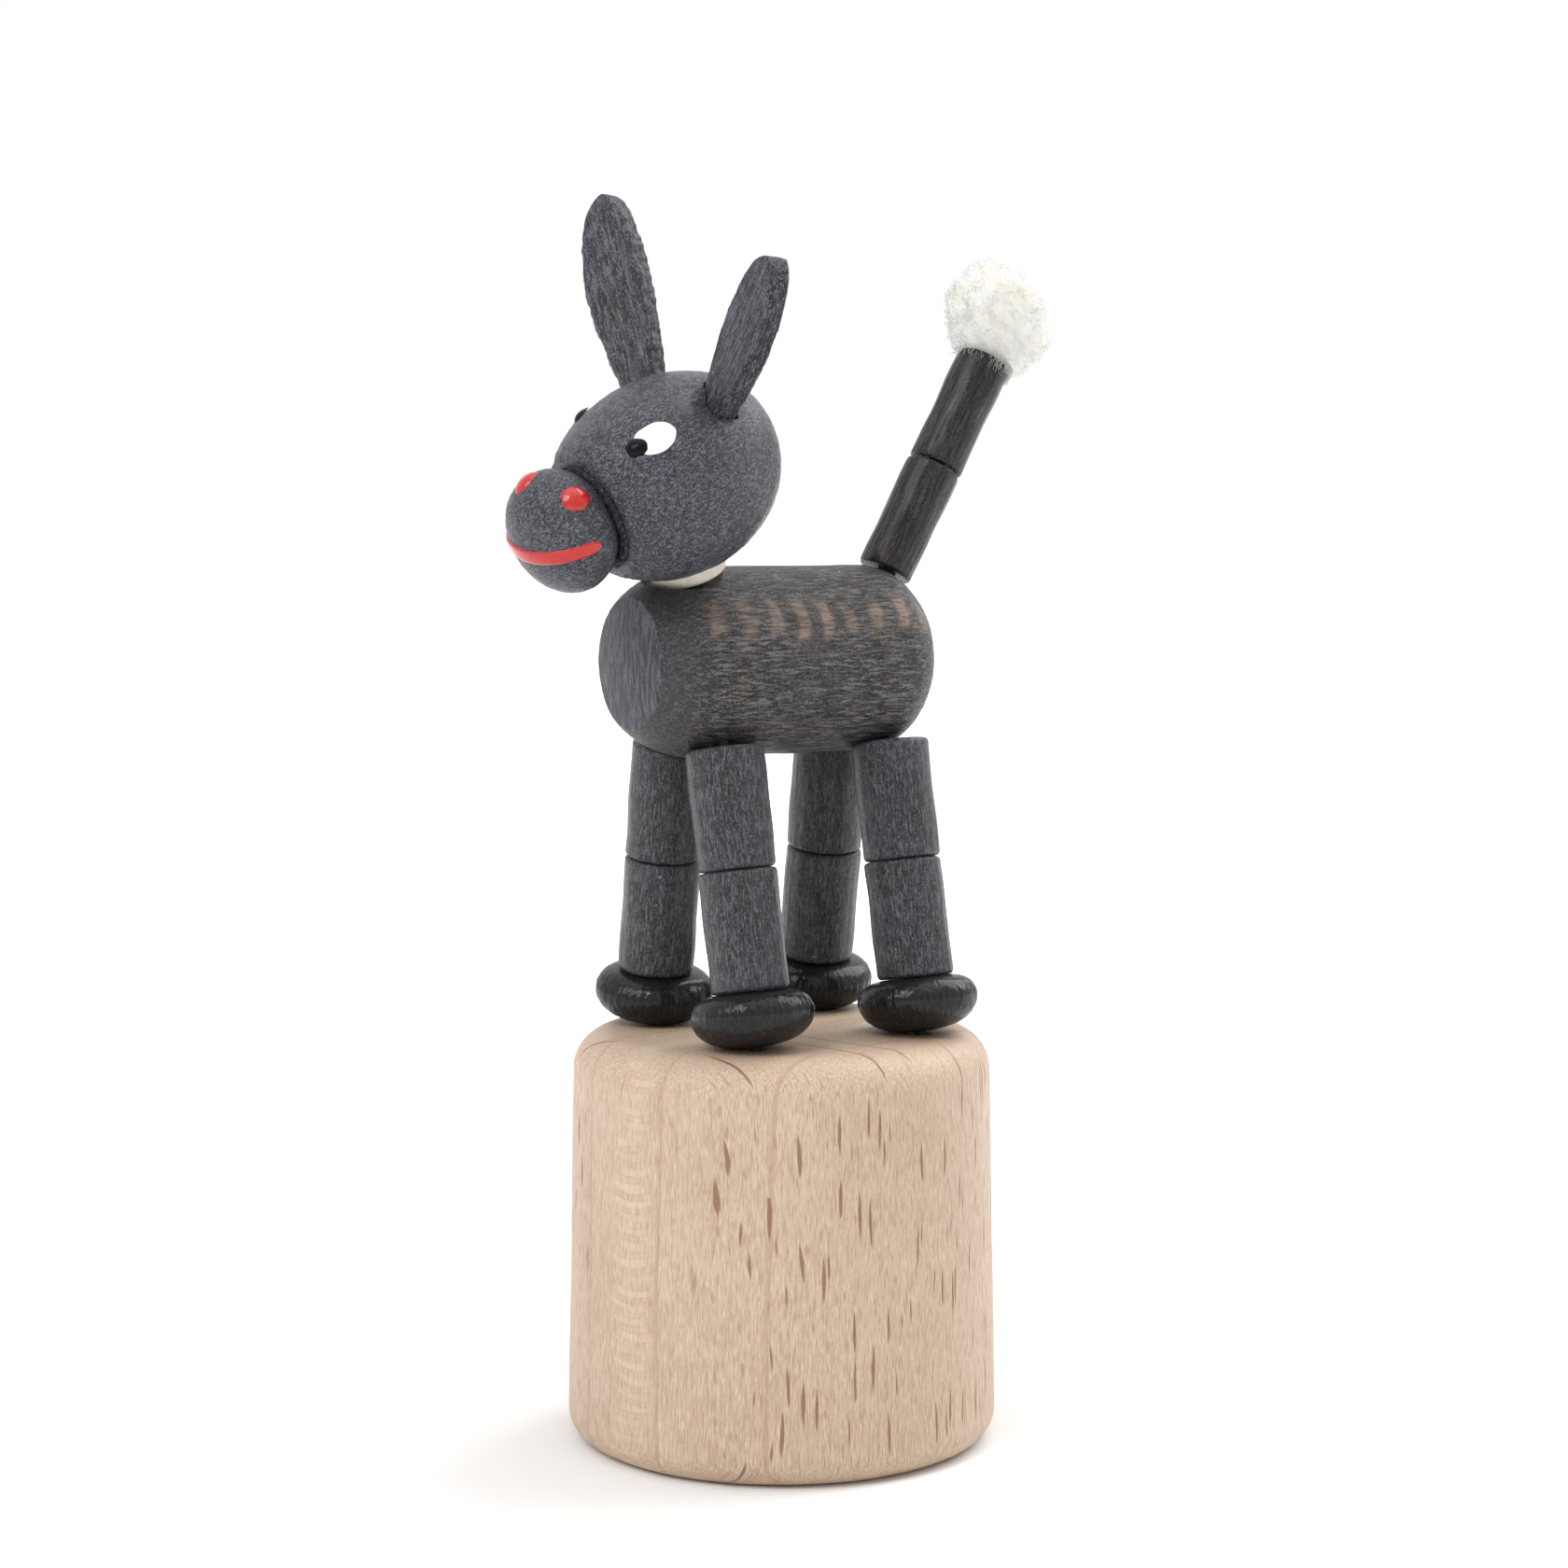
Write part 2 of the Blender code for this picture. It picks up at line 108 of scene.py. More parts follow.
class Value:
    """Something that changes over a surface; sums and products of it become Math nodes."""

    def __init__(self, finish, socket):
        self.finish = finish
        self.socket = socket

    def maths(self, operation, *values):
        return self.finish.node("ShaderNodeMath", {"operation": operation}, dict(enumerate(values)))

    def output(self, name):
        return Value(self.finish, self.socket.node.outputs[name])

    def __add__(self, other):
        return self.maths("ADD", self, other)

    def __sub__(self, other):
        return self.maths("SUBTRACT", self, other)

    def __rsub__(self, other):
        return self.maths("SUBTRACT", other, self)

    def __mul__(self, other):
        return self.maths("MULTIPLY", self, other)

    def __truediv__(self, other):
        return self.maths("DIVIDE", self, other)

    def __pow__(self, other):
        return self.maths("POWER", self, other)

    def __abs__(self):
        return self.maths("ABSOLUTE", self)

    def fract(self):
        return self.maths("FRACT", self)

    __radd__ = __add__
    __rmul__ = __mul__


class Finish:
    """One procedural material, written as expressions."""

    def __init__(self, name, **constants):
        self.material = bpy.data.materials.new(name)
        self.material.use_nodes = True
        self.tree = self.material.node_tree
        self.shader = self.tree.nodes["Principled BSDF"]
        for socket, value in constants.items():
            self.shader.inputs[socket.replace("_", " ")].default_value = value

    def feed(self, socket, value):
        if isinstance(value, Value):
            self.tree.links.new(value.socket, socket)
        else:
            socket.default_value = value

    def node(self, kind, settings, inputs, out=0):
        made = self.tree.nodes.new(kind)
        for key, value in settings.items():
            setattr(made, key, value)
        for key, value in inputs.items():
            self.feed(made.inputs[key], value)
        return Value(self, made.outputs[out])

    def scale(self, vector, size):
        return self.node("ShaderNodeVectorMath", {"operation": "SCALE"}, {0: vector, "Scale": size})

    def place(self):
        return self.scale(self.node("ShaderNodeTexCoord", {}, {}, "Object"), 1 / MM)

    def split(self, vector):
        parts = self.node("ShaderNodeSeparateXYZ", {}, {0: vector})
        return parts, parts.output("Y"), parts.output("Z")

    def join(self, x, y, z):
        return self.node("ShaderNodeCombineXYZ", {}, {0: x, 1: y, 2: z})

    def seed(self):
        return self.node("ShaderNodeAttribute", {"attribute_name": "seed"}, {}, "Fac")

    def seen(self):
        """1 for the rays that look at the surround itself, and 0 for those that light the object."""
        rays = self.node("ShaderNodeLightPath", {}, {})
        seen = rays.maths("MAXIMUM", rays.output("Is Camera Ray"), rays.output("Is Glossy Ray"))
        return seen.maths("MAXIMUM", seen, rays.output("Is Transmission Ray"))

    def noise(self, vector, scale, detail=2.0, roughness=0.5):
        inputs = {"Vector": vector, "Scale": scale, "Detail": detail, "Roughness": roughness}
        return self.node("ShaderNodeTexNoise", {}, inputs)

    def cells(self, vector, exponent, flat=True):
        return self.node("ShaderNodeTexVoronoi",
                         {"voronoi_dimensions": "2D" if flat else "3D", "distance": "MINKOWSKI"},
                         {"Vector": vector, "Scale": 1.0, "Exponent": exponent})

    def spots(self, vector, share, size, soft, exponent=1.4, flat=True):
        """Scattered spots in a share of the cells; size is that of the largest, in cells."""
        cell = self.cells(vector, exponent, flat)
        chance = self.node("ShaderNodeSeparateColor", {}, {0: cell.output("Color")})
        reach = self.smooth(chance, 1.0 - share, 1.0) * size - 0.02
        return self.smooth(reach - cell, 0.0, soft)

    def smooth(self, value, low, high, start=0.0, stop=1.0):
        return self.node("ShaderNodeMapRange", {"interpolation_type": "SMOOTHSTEP"},
                         {0: value, 1: low, 2: high, 3: start, 4: stop})

    def mix(self, share, first, second):
        return self.node("ShaderNodeMix", {"data_type": "RGBA"},
                         {0: share, 6: self.colour(first), 7: self.colour(second)}, 2)

    def coats(self, tint, *coats):
        """Lays coats over a tint, each a share of the surface and a colour."""
        for share, colour in coats:
            tint = self.mix(share, tint, colour)
        return tint

    def colour(self, value):
        return value if isinstance(value, Value) else (*value, 1.0)

    def relief(self, height, depth, strength=1.0):
        return self.node("ShaderNodeBump", {},
                         {"Strength": strength, "Distance": depth * MM, "Height": height})

    def finish(self, colour, roughness, normal=None):
        self.feed(self.shader.inputs["Base Color"], colour)
        self.feed(self.shader.inputs["Roughness"], roughness)
        if normal is not None:
            self.feed(self.shader.inputs["Normal"], normal)
        return self.material

    def mottled(self, grain, edges, colours, roughness, depth, strength=1.0):
        """Two colours by a grain, which also lifts the surface and adds its share to the roughness."""
        tint = self.mix(self.smooth(grain, *edges), *colours)
        start, share = roughness
        return self.finish(tint, grain * share + start, self.relief(grain, depth, strength))


class Sky(Finish):
    """The white surround, written in the same way."""

    def __init__(self, name):
        self.world = bpy.data.worlds.new(name)
        self.world.use_nodes = True
        self.tree = self.world.node_tree
        self.shader = self.tree.nodes["Background"]


# Flecks: their width and height in mm, and the share of places that have one
Fleck = namedtuple("Fleck", "width height share")

# Bars of ray wood: half their length, their pitch, how far they wander, and where along the grain they stop
Ladder = namedtuple("Ladder", "half pitch stray stop")
NO_STOP = 99.0


class Figure:
    """The figure of beech in a piece whose grain runs along its own Z: rings, fibres, flecks, rays."""

    def __init__(self, finish, ring_turn, ring_width, ring_start, fleck, ladder, fine, stretch):
        x, y, z = finish.split(finish.place())
        z = z + finish.seed() * 37.0
        self.point = finish.join(x, y, z)
        self.x, self.y, self.z = x, y, z
        cosine = math.cos(math.radians(ring_turn))
        sine = math.sin(math.radians(ring_turn))
        drift = finish.noise(finish.join(x * 0.06, y * 0.06, z * 0.035), 1.0, 1.0) - 0.5
        sway = finish.noise(finish.join(x * 0.4, y * 0.4, z * 0.16), 1.0, 2.0) - 0.5
        across = x * cosine + y * sine
        along = y * cosine - x * sine
        facing = along / (x * x + y * y + 0.01) ** 0.5
        turns = (across + drift * 1.6 + sway * 0.3 - ring_start) / ring_width
        self.radial = finish.smooth(abs(facing), 0.90, 0.975)
        self.ring = turns.fract()
        self.line = finish.smooth(self.ring, 0.93, 0.985) * finish.smooth(self.ring, 1.0, 0.985)
        self.fibre = finish.noise(finish.join(x * fine, y * fine, z * fine * stretch), 1.0, 4.0, 0.6)
        pored = finish.join(x * fine * 2, y * fine * 2, z * fine * stretch * 2.4)
        self.pore = finish.noise(pored, 1.0, 2.0, 0.55)
        bent = along + sway * 0.5
        large = finish.join(bent / fleck.width, z / fleck.height, 0.0)
        self.fleck = finish.spots(large, fleck.share, 0.38, 0.12, 1.7)
        small = finish.join(bent / (fleck.width * 0.62) + 5.3, z / (fleck.height * 0.34), 0.0)
        self.dash = finish.spots(small, 0.6, 0.36, 0.14, 1.7)
        self.rays(finish, across + sway * 0.8, ladder)

    def rays(self, finish, across, ladder):
        """A ladder of short bars, each a pale rung with a darker rim, on a paler band."""
        rise = self.z / ladder.pitch
        stagger = finish.noise(finish.join(2.2, 6.4, rise * 0.55), 1.0, 1.0) - 0.5
        middle = across + stagger * (ladder.half * 2.4)
        aside = abs(middle) / ladder.half
        wander = finish.noise(finish.join(middle * 0.14, 4.7, rise * 0.35), 1.0, 1.0) - 0.5
        beat = (self.z - aside * aside * 0.3) / ladder.pitch + wander * ladder.stray
        off = abs(beat.fract() - 0.5)
        strength = finish.noise(finish.join(0.3, 8.1, rise * 0.62), 1.0, 1.0)
        strong = finish.smooth(strength, 0.30, 0.58) * 0.6 + 0.4
        frayed = finish.smooth(self.fibre, 0.38, 0.54) * 0.7 + 0.3
        reach = wander * 1.5 + 1.0 - aside
        within = finish.smooth(self.z, ladder.stop + 1.5, ladder.stop - 1.5) * self.radial
        self.band = finish.smooth(reach, -0.25, 0.1) * within
        rung = finish.smooth(off, 0.32, 0.12) * finish.smooth(reach, -0.1, 0.55)
        self.rung = rung * strong * frayed * within
        rim = finish.smooth(off, 0.46, 0.30) * finish.smooth(reach, -0.2, 0.1)
        self.rim = rim * strong * within - self.rung


def beech():
    finish = Finish("natural_beech", Specular_IOR_Level=0.35)
    figure = Figure(finish, ring_turn=16, ring_width=7.9, ring_start=2.9, fleck=Fleck(0.40, 5.6, 0.42),
                    ladder=Ladder(1.75, 1.1, 1.0, NO_STOP), fine=4.8, stretch=0.09)
    flat = 1.0 - figure.radial
    patch = finish.smooth(finish.noise(figure.point, 0.10, 2.0), 0.3, 0.7)
    wood = finish.coats(
        finish.mix(patch, (0.618, 0.475, 0.356), (0.570, 0.425, 0.312)),
        (figure.band * 0.5, (0.660, 0.520, 0.395)),
        (figure.ring * 0.22, (0.50, 0.357, 0.253)),
        (finish.smooth(figure.fibre, 0.46, 0.64) * 0.45, (0.435, 0.295, 0.200)),
        (finish.smooth(figure.pore, 0.52, 0.66) * 0.55, (0.39, 0.254, 0.163)),
        (finish.smooth(figure.pore, 0.46, 0.34) * 0.50, (0.75, 0.625, 0.493)),
        (figure.line * 0.50, (0.44, 0.280, 0.175)),
        (figure.dash * flat * 0.45, (0.35, 0.200, 0.115)),
        (figure.fleck * flat * 0.85, (0.245, 0.118, 0.058)),
        (figure.rim * 0.28, (0.54, 0.350, 0.193)),
        (figure.rung * 0.46, (0.740, 0.610, 0.475)))
    height = figure.fibre * 0.6 + figure.pore * 0.6 - figure.fleck * flat * 0.5 - figure.line * 0.2
    return finish.finish(wood, figure.pore * 0.14 + 0.42, finish.relief(height, 0.07, 0.8))


SOOT = (0.006, 0.006, 0.007)
OPEN_PORE = (0.006, 0.006, 0.0065)


def charcoal(name, ring_turn=20.0, ladder=Ladder(1.5, 1.9, 1.0, NO_STOP), brown=0.1, fuzz=0.5, rough=0.42,
             depth=0.14, tone=1.0, pale=(0.150, 0.151, 0.180), face=None, stretch=0.11, gloss=0.2, fine=4.6,
             coat=0.0, shine=0.24):
    """Stained wood: brown shows where the stain is thin, and face is the height of a sawn end in grey."""
    finish = Finish(name, Specular_IOR_Level=gloss, Coat_Weight=coat, Coat_Roughness=shine)
    figure = Figure(finish, ring_turn, 2.1, 0.4, Fleck(0.9, 4.0, 0.35), ladder, fine, stretch)
    speckle = finish.noise(figure.point, 6.5, 3.0, 0.75)
    dark = finish.smooth(figure.pore, 0.52, 0.62)
    patch = finish.smooth(finish.noise(figure.point, 0.22, 2.0), 0.38, 0.62)
    thin = finish.smooth(finish.noise(figure.point, 0.5, 3.0, 0.6), 0.42, 0.62)
    raised = tuple(channel * 1.8 for channel in pale)
    wood = finish.coats(
        finish.mix(patch, (0.034, 0.033, 0.034), (0.046, 0.046, 0.057)),
        (finish.smooth(figure.fibre, 0.46, 0.60) * (1.0 - 0.4 * fuzz), pale),
        (finish.smooth(speckle, 0.53, 0.64) * fuzz, raised),
        (finish.smooth(speckle, 0.47, 0.37) * fuzz, SOOT),
        (dark * 0.75, OPEN_PORE),
        (figure.line * thin * brown, (0.15, 0.105, 0.082)),
        (figure.rim * brown * 0.35, (0.11, 0.076, 0.058)),
        (figure.rung * brown, (0.300, 0.222, 0.172)))
    height = figure.fibre * 0.7 + speckle * fuzz - dark * 0.35
    if face is not None:
        shoulder = finish.smooth(figure.z, face - 4.5, face - 1.5)
        sawn = finish.smooth(figure.z, face - 0.16, face - 0.02)
        streak = finish.noise(finish.join(figure.x * 3.4, figure.y * 0.5, 0.0), 1.0, 3.0, 0.6)
        grey = finish.mix(finish.smooth(streak, 0.43, 0.60), (0.046, 0.047, 0.057), (0.148, 0.150, 0.178))
        grey = finish.mix(finish.smooth(speckle, 0.48, 0.38) * 0.7, grey, (0.008, 0.008, 0.010))
        wood = finish.coats(wood, (shoulder * 0.55, (0.062, 0.061, 0.068)), (sawn, grey))
    # Scattered tiny light grey specks laid over the wood's colour
    pale_specks = finish.spots(finish.scale(figure.point, 0.8), 0.3, 0.11, 0.03, 2.0, False)
    wood = finish.mix(pale_specks * 0.8, wood, (0.62, 0.62, 0.62))
    if tone != 1.0:
        wood = finish.mix(1.0 - tone, wood, (0.003, 0.003, 0.003))
    return finish.finish(wood, speckle * 0.30 + (rough - 0.15), finish.relief(height, depth, 0.9))


def painted(name, colour, roughness, coat, gloss=0.5, shade=0.8):
    finish = Finish(name, Coat_Roughness=0.08, Specular_IOR_Level=gloss, Coat_Weight=coat)
    lumps = finish.noise(finish.place(), 2.2, 3.0, 0.55)
    deep = tuple(channel * shade for channel in colour)
    return finish.mottled(lumps, (0.3, 0.7), (deep, colour), (roughness, 0.15), 0.05, 0.5)


def cream():
    finish = Finish("cream_ring", Specular_IOR_Level=0.4)
    x, y, z = finish.split(finish.place())
    grain = finish.noise(finish.join(x * 4.0, y * 4.0, z * 0.7), 1.0, 3.0)
    tints = (0.80, 0.72, 0.60), (0.86, 0.80, 0.69)
    return finish.mottled(grain, (0.35, 0.7), tints, (0.42, 0.15), 0.02, 0.5)


def yarn(name, curls):
    """Brushed white yarn; curls is how deep its surface is tangled, in millimetres."""
    finish = Finish(name, Sheen_Weight=0.8, Sheen_Roughness=0.7, Specular_IOR_Level=0.0,
                    Subsurface_Weight=1.0, Subsurface_Scale=0.0025)
    finish.shader.inputs["Subsurface Radius"].default_value = (1.0, 0.95, 0.85)
    point = finish.place()
    tuft = finish.noise(point, 0.45, 3.0, 0.6)
    tangle = finish.noise(point, 2.6, 3.0, 0.65)
    tint = finish.mix(finish.smooth(tuft, 0.42, 0.68), (0.99, 0.965, 0.905), (0.985, 0.92, 0.79))
    return finish.finish(tint, tuft * 0.1 + 0.8, finish.relief(tangle, curls, 0.8))


def cord_finish():
    finish = Finish("black_cord", Specular_IOR_Level=0.3)
    twist = finish.noise(finish.place(), 6.0, 2.0)
    blacks = (0.018, 0.018, 0.02), (0.05, 0.05, 0.053)
    return finish.mottled(twist, (0.35, 0.7), blacks, (0.6, 0.2), 0.05)


def wire():
    finish = Finish("spring_steel", Metallic=1.0)
    drawn = finish.noise(finish.place(), 3.0, 3.0, 0.6)
    greys = (0.42, 0.42, 0.43), (0.60, 0.61, 0.63)
    return finish.mottled(drawn, (0.3, 0.7), greys, (0.22, 0.2), 0.01)


TORSO_HALF = (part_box("torso")[1].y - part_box("torso")[0].y) / 2 / MM
BEECH = beech()
TORSO = charcoal("charcoal_torso", -63, Ladder(1.65, 2.3, 1.1, 9.0), brown=0.9, pale=(0.185, 0.168, 0.165),
                 face=TORSO_HALF - FACE_DOME)
LIMB = charcoal("charcoal_limb", rough=0.34, depth=0.18, tone=0.84, stretch=0.15, fine=6.2, coat=0.20)
TAIL = charcoal("charcoal_tail", brown=0.2, rough=0.30, depth=0.22, tone=0.32, pale=(0.190, 0.150, 0.150),
                stretch=0.08, gloss=0.10, fine=3.7, coat=0.28)
HEAD = charcoal("charcoal_head", 40, brown=0.0, fuzz=0.7, rough=0.38, depth=0.17, pale=(0.158, 0.160, 0.202),
                stretch=0.35, gloss=0.3, coat=0.14)
EAR = charcoal("charcoal_ear", 0, brown=0.2, fuzz=0.65)
HOOF = charcoal("charcoal_hoof", 10, brown=0.0, fuzz=0.15, rough=0.35, depth=0.3, tone=0.10, gloss=0.08,
                coat=0.40, shine=0.15)
SEAM = charcoal("charcoal_seam", 10, brown=0.0, fuzz=0.7, rough=0.6, depth=0.25, tone=0.6)
RED = painted("red_paint", (0.58, 0.013, 0.010), roughness=0.15, coat=0.5, gloss=0.3)
WHITE = painted("white_paint", (0.92, 0.92, 0.91), roughness=0.45, coat=0.0, gloss=0.3, shade=0.96)
BLACK = painted("black_paint", (0.004, 0.004, 0.004), roughness=0.10, coat=0.0, gloss=0.12)
CREAM = cream()
YARN = yarn("pompom_yarn", 0.20)
FLUFF = yarn("pompom_fluff", 0.02)
CORD = cord_finish()
WIRE = wire()


# Mesh making, in millimetres

# Angles in degrees from which an edge is shaded as an edge
SMOOTH = 38.0
TORSO_SMOOTH = 24.0
PAINT_SMOOTH = 60.0
BUTTON_SMOOTH = 35.0

UP = Vector((0, 0, 1))


def link(name, data):
    made = bpy.data.objects.new(name, data)
    bpy.context.scene.collection.objects.link(made)
    return made


def add(name, mesh, look, place=None):
    made = link(name, mesh)
    mesh.materials.append(look)
    if place is not None:
        made.matrix_world = place
    return made


def plain(name, shape):
    """Turns a bmesh into a mesh as it is."""
    mesh = bpy.data.meshes.new(name)
    shape.to_mesh(mesh)
    shape.free()
    return mesh


def close(name, shape, seed=0.0, sharp=SMOOTH):
    """Turns a bmesh in millimetres into a mesh in metres, shaded smooth, with its own seed."""
    bmesh.ops.scale(shape, vec=(MM, MM, MM), verts=shape.verts)
    bmesh.ops.recalc_face_normals(shape, faces=shape.faces)
    mesh = plain(name, shape)
    mesh.shade_smooth()
    mesh.set_sharp_from_angle(angle=math.radians(sharp))
    stamp = mesh.attributes.new("seed", "FLOAT", "POINT")
    stamp.data.foreach_set("value", [seed] * len(mesh.vertices))
    return mesh


def circle(count):
    """Cosines and sines of even steps round a circle."""
    turns = [2 * math.pi * step / count for step in range(count)]
    return [(math.cos(turn), math.sin(turn)) for turn in turns]


def hoop(shape, centre, radius, side, other, count):
    """A ring of corners round a centre, in the plane of side and other."""
    return [shape.verts.new(centre + radius * (side * cosine + other * sine))
            for cosine, sine in circle(count)]


def bridge(shape, rings, capped=True):
    """Faces from each ring of corners to the next, and over both ends where capped."""
    for first, second in zip(rings, rings[1:]):
        for i in range(len(first)):
            after = (i + 1) % len(first)
            corners = list(dict.fromkeys((first[i], first[after], second[after], second[i])))
            if len(corners) > 2:
                shape.faces.new(corners)
    if capped:
        shape.faces.new(list(reversed(rings[0])))
        shape.faces.new(rings[-1])


def spun(name, profile, steps, wear, seed=0.0, closed=False, sharp=SMOOTH):
    """Spins (radius, height) points round Z and lets wear(point) move each one."""
    shape = bmesh.new()
    rings = []
    for radius, height in profile:
        if radius < 1e-6:
            rings.append([shape.verts.new(wear(Vector((0, 0, height))))] * steps)
        else:
            rings.append([shape.verts.new(wear(Vector((radius * cosine, radius * sine, height))))
                          for cosine, sine in circle(steps)])
    bridge(shape, rings + rings[:1] if closed else rings, False)
    return close(name, shape, seed, sharp)


def between(a, b, c, d, t):
    """A smooth value from b to c, whose neighbours are a and d."""
    return b + 0.5 * t * (c - a + t * (2 * a - 5 * b + 4 * c - d + t * (3 * b - a - 3 * c + d)))


def curve(points, steps):
    """A smooth run through a few (radius, height) points."""
    found = [points[0]]
    row = [points[0], *points, points[-1]]
    for four in zip(row, row[1:], row[2:], row[3:]):
        for step in range(1, steps + 1):
            found.append(tuple(between(*values, step / steps) for values in zip(*four)))
    return found


def arc(centre, sizes, start, stop, count):
    turns = [math.radians(start + (stop - start) * i / count) for i in range(count + 1)]
    return [(centre[0] + sizes[0] * math.cos(a), centre[1] + sizes[1] * math.sin(a)) for a in turns]


def quarter(centre, radius, start, count):
    """A rounded edge, without its first point."""
    return arc(centre, (radius, radius), start, start - 90, count)[1:]


def run(first, last, count):
    """Points on a straight stretch of a profile, without its first one."""
    return [(first[0] + (last[0] - first[0]) * i / count, first[1] + (last[1] - first[1]) * i / count)
            for i in range(1, count + 1)]


def lathe_wear(seed, lumps, ridges, ends=0.0, fine=2.6):
    """Hand-turned wood: slow lumps, fine ridges along the grain, and ends that are not quite square."""
    shift = Vector((seed * 13.1, seed * 7.7, seed * 5.3))
    lean = seed * 2.4

    def wear(point):
        outward = Vector((point.x, point.y, 0))
        reach = outward.length
        if reach > 1e-6:
            outward.normalize()
        lump = noise.noise(point * 0.33 + shift) * lumps
        ridge = noise.noise(Vector((point.x * fine, point.y * fine, point.z * 0.16)) + shift) * ridges
        tilt = ends * (point.x * math.cos(lean) + point.y * math.sin(lean))
        return point + outward * (lump + ridge) * min(1.0, reach) + Vector((0, 0, tilt))
    return wear


def spread_of(name):
    """A node's points in mm, their middle, and how far and which ways they spread, least first."""
    points = np.array([corner.co for corner in nodes[name].data.vertices]) / MM
    middle = points.mean(0)
    spread, ways = np.linalg.eigh(np.cov((points - middle).T))
    return points, middle, spread, [Vector(ways[:, i]) for i in range(3)]


def axes_of(name, toward=UP):
    """The place of a turned node: its matrix with Z along its axis, and its points in that frame, in mm."""
    points, middle, spread, ways = spread_of(name)
    up = ways[0 if spread[1] - spread[0] > spread[2] - spread[1] else 2]
    if up.dot(Vector(toward)) < 0:
        up = -up
    side = Vector((0, 1, 0)).cross(up).normalized()
    turn = Matrix((side, up.cross(side), up)).transposed()
    local = (points - middle) @ np.array(turn)
    return Matrix.LocRotScale(Vector(middle) * MM, turn, None), local


def span(local):
    """Radius, lowest, highest and bore of a turned node's points."""
    reach = np.hypot(local[:, 0], local[:, 1])
    return float(reach.max()), float(local[:, 2].min()), float(local[:, 2].max()), float(reach.min())


def on_axis(place, height, aside=Vector()):
    """A point in metres on the Z axis of a place, at a height in millimetres, or aside of it in metres."""
    return place @ (aside + Vector((0, 0, height * MM)))


def at(spot, height):
    """The point over or under a spot, both in metres."""
    return Vector((spot.x, spot.y, height))


def ends(name):
    """Middle of a turned node's lower end, of itself and of its upper end."""
    place, local = axes_of(name)
    low, high = span(local)[1:3]
    return [on_axis(place, height) for height in (low, (low + high) / 2, high)]


def cut(piece, cutters, sharp=SMOOTH):
    """Takes the cutters out of a piece and leaves a plain mesh."""
    for cutter in cutters:
        made = piece.modifiers.new("cut", "BOOLEAN")
        made.operation = "DIFFERENCE"
        made.solver = "MANIFOLD"
        made.object = cutter
    bpy.context.view_layer.update()
    evaluated = piece.evaluated_get(bpy.context.evaluated_depsgraph_get())
    mesh = bpy.data.meshes.new_from_object(evaluated)
    piece.modifiers.clear()
    piece.data = mesh
    mesh.set_sharp_from_angle(angle=math.radians(sharp))
    for cutter in cutters:
        bpy.data.objects.remove(cutter, do_unlink=True)


def rod(start, stop, radius, steps=32):
    """A cutter from one point to another, in metres."""
    shape = bmesh.new()
    along = stop - start
    place = Matrix.Translation((start + stop) / 2) @ along.to_track_quat("Z", "X").to_matrix().to_4x4()
    bmesh.ops.create_cone(shape, cap_ends=True, segments=steps, radius1=radius * MM, radius2=radius * MM,
                          depth=along.length, matrix=place)
    return link("cutter", plain("cutter", shape))


def turned(name, profile, steps, wear, look, place=None, seed=0.0, closed=False, sharp=SMOOTH, cutters=()):
    """A piece spun on the lathe, with the cutters taken out of it."""
    mesh = spun(name + "_turned", profile, steps, wear, seed, closed, sharp)
    piece = add(name + "_turned", mesh, look, place)
    if cutters:
        cut(piece, cutters, sharp)
    return piece


def mount(piece, body):
    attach(piece, body)


def stand_in(piece, node, body):
    """The piece takes a node's place on its body."""
    mount(piece, body)
    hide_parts(node)


# Drum and button

def make_drum():
    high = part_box("base_drum")[1]
    foot = high.x / MM
    top = foot - DRUM_TAPER
    tall = high.z / MM
    shoulder = tall - DRUM_TOP_ROUND
    ceiling = tall - DRUM_ROOF
    profile = [(0, tall)] + run((0, tall), (top - DRUM_TOP_ROUND, tall), 26)
    profile += quarter((top - DRUM_TOP_ROUND, shoulder), DRUM_TOP_ROUND, 90, 16)
    profile += run((top, shoulder), (foot, DRUM_FOOT_ROUND), 60)
    profile += quarter((foot - DRUM_FOOT_ROUND, DRUM_FOOT_ROUND), DRUM_FOOT_ROUND, 0, 14)
    profile += [(DRUM_BORE + 0.3, 0), (DRUM_BORE, 0.3), (DRUM_BORE, ceiling), (0, ceiling)]
    cutters = []
    for leg in LEGS:
        hole = ends("hoof_" + leg)[0]
        cutters.append(rod(at(hole, (ceiling - 1) * MM), at(hole, (tall + 1) * MM), BORE))
    drum = turned("drum", profile, 160, lathe_wear(0.31, 0.05, 0.02), BEECH, cutters=cutters)
    stand_in(drum, "base_drum", "base")


def make_button():
    button = nodes["push_button"].data
    button.materials.clear()
    button.materials.append(BEECH)
    button.shade_smooth()
    button.set_sharp_from_angle(angle=math.radians(BUTTON_SMOOTH))


# Legs and tail

def bead_profile(radius, low, high, bore, rounding, rows):
    core = radius - rounding
    profile = run((bore, high), (core, high), 6)
    profile += quarter((core, high - rounding), rounding, 90, 5)
    profile += run((radius, high - rounding), (radius, low + rounding), rows)
    profile += quarter((core, low + rounding), rounding, 0, 5)
    profile += run((core, low), (bore, low), 6)
    return profile + run((bore, low), (bore, high), 3)


def make_bead(name, seed, below, above, rounding=0.36, bore=None, look=LIMB, cutters=()):
    """A dowel bead, reaching a little below and above its node so that a hairline stays at the joints."""
    place, local = axes_of(name)
    radius, low, high, found = span(local)
    bore = found if bore is None else bore
    profile = bead_profile(radius, low - below, high + above, bore, rounding, 24)
    wear = lathe_wear(seed, 0.10, 0.06, 0.006)
    piece = turned(name, profile, 80, wear, look, place, seed, True, cutters=cutters)
    stand_in(piece, name, name)


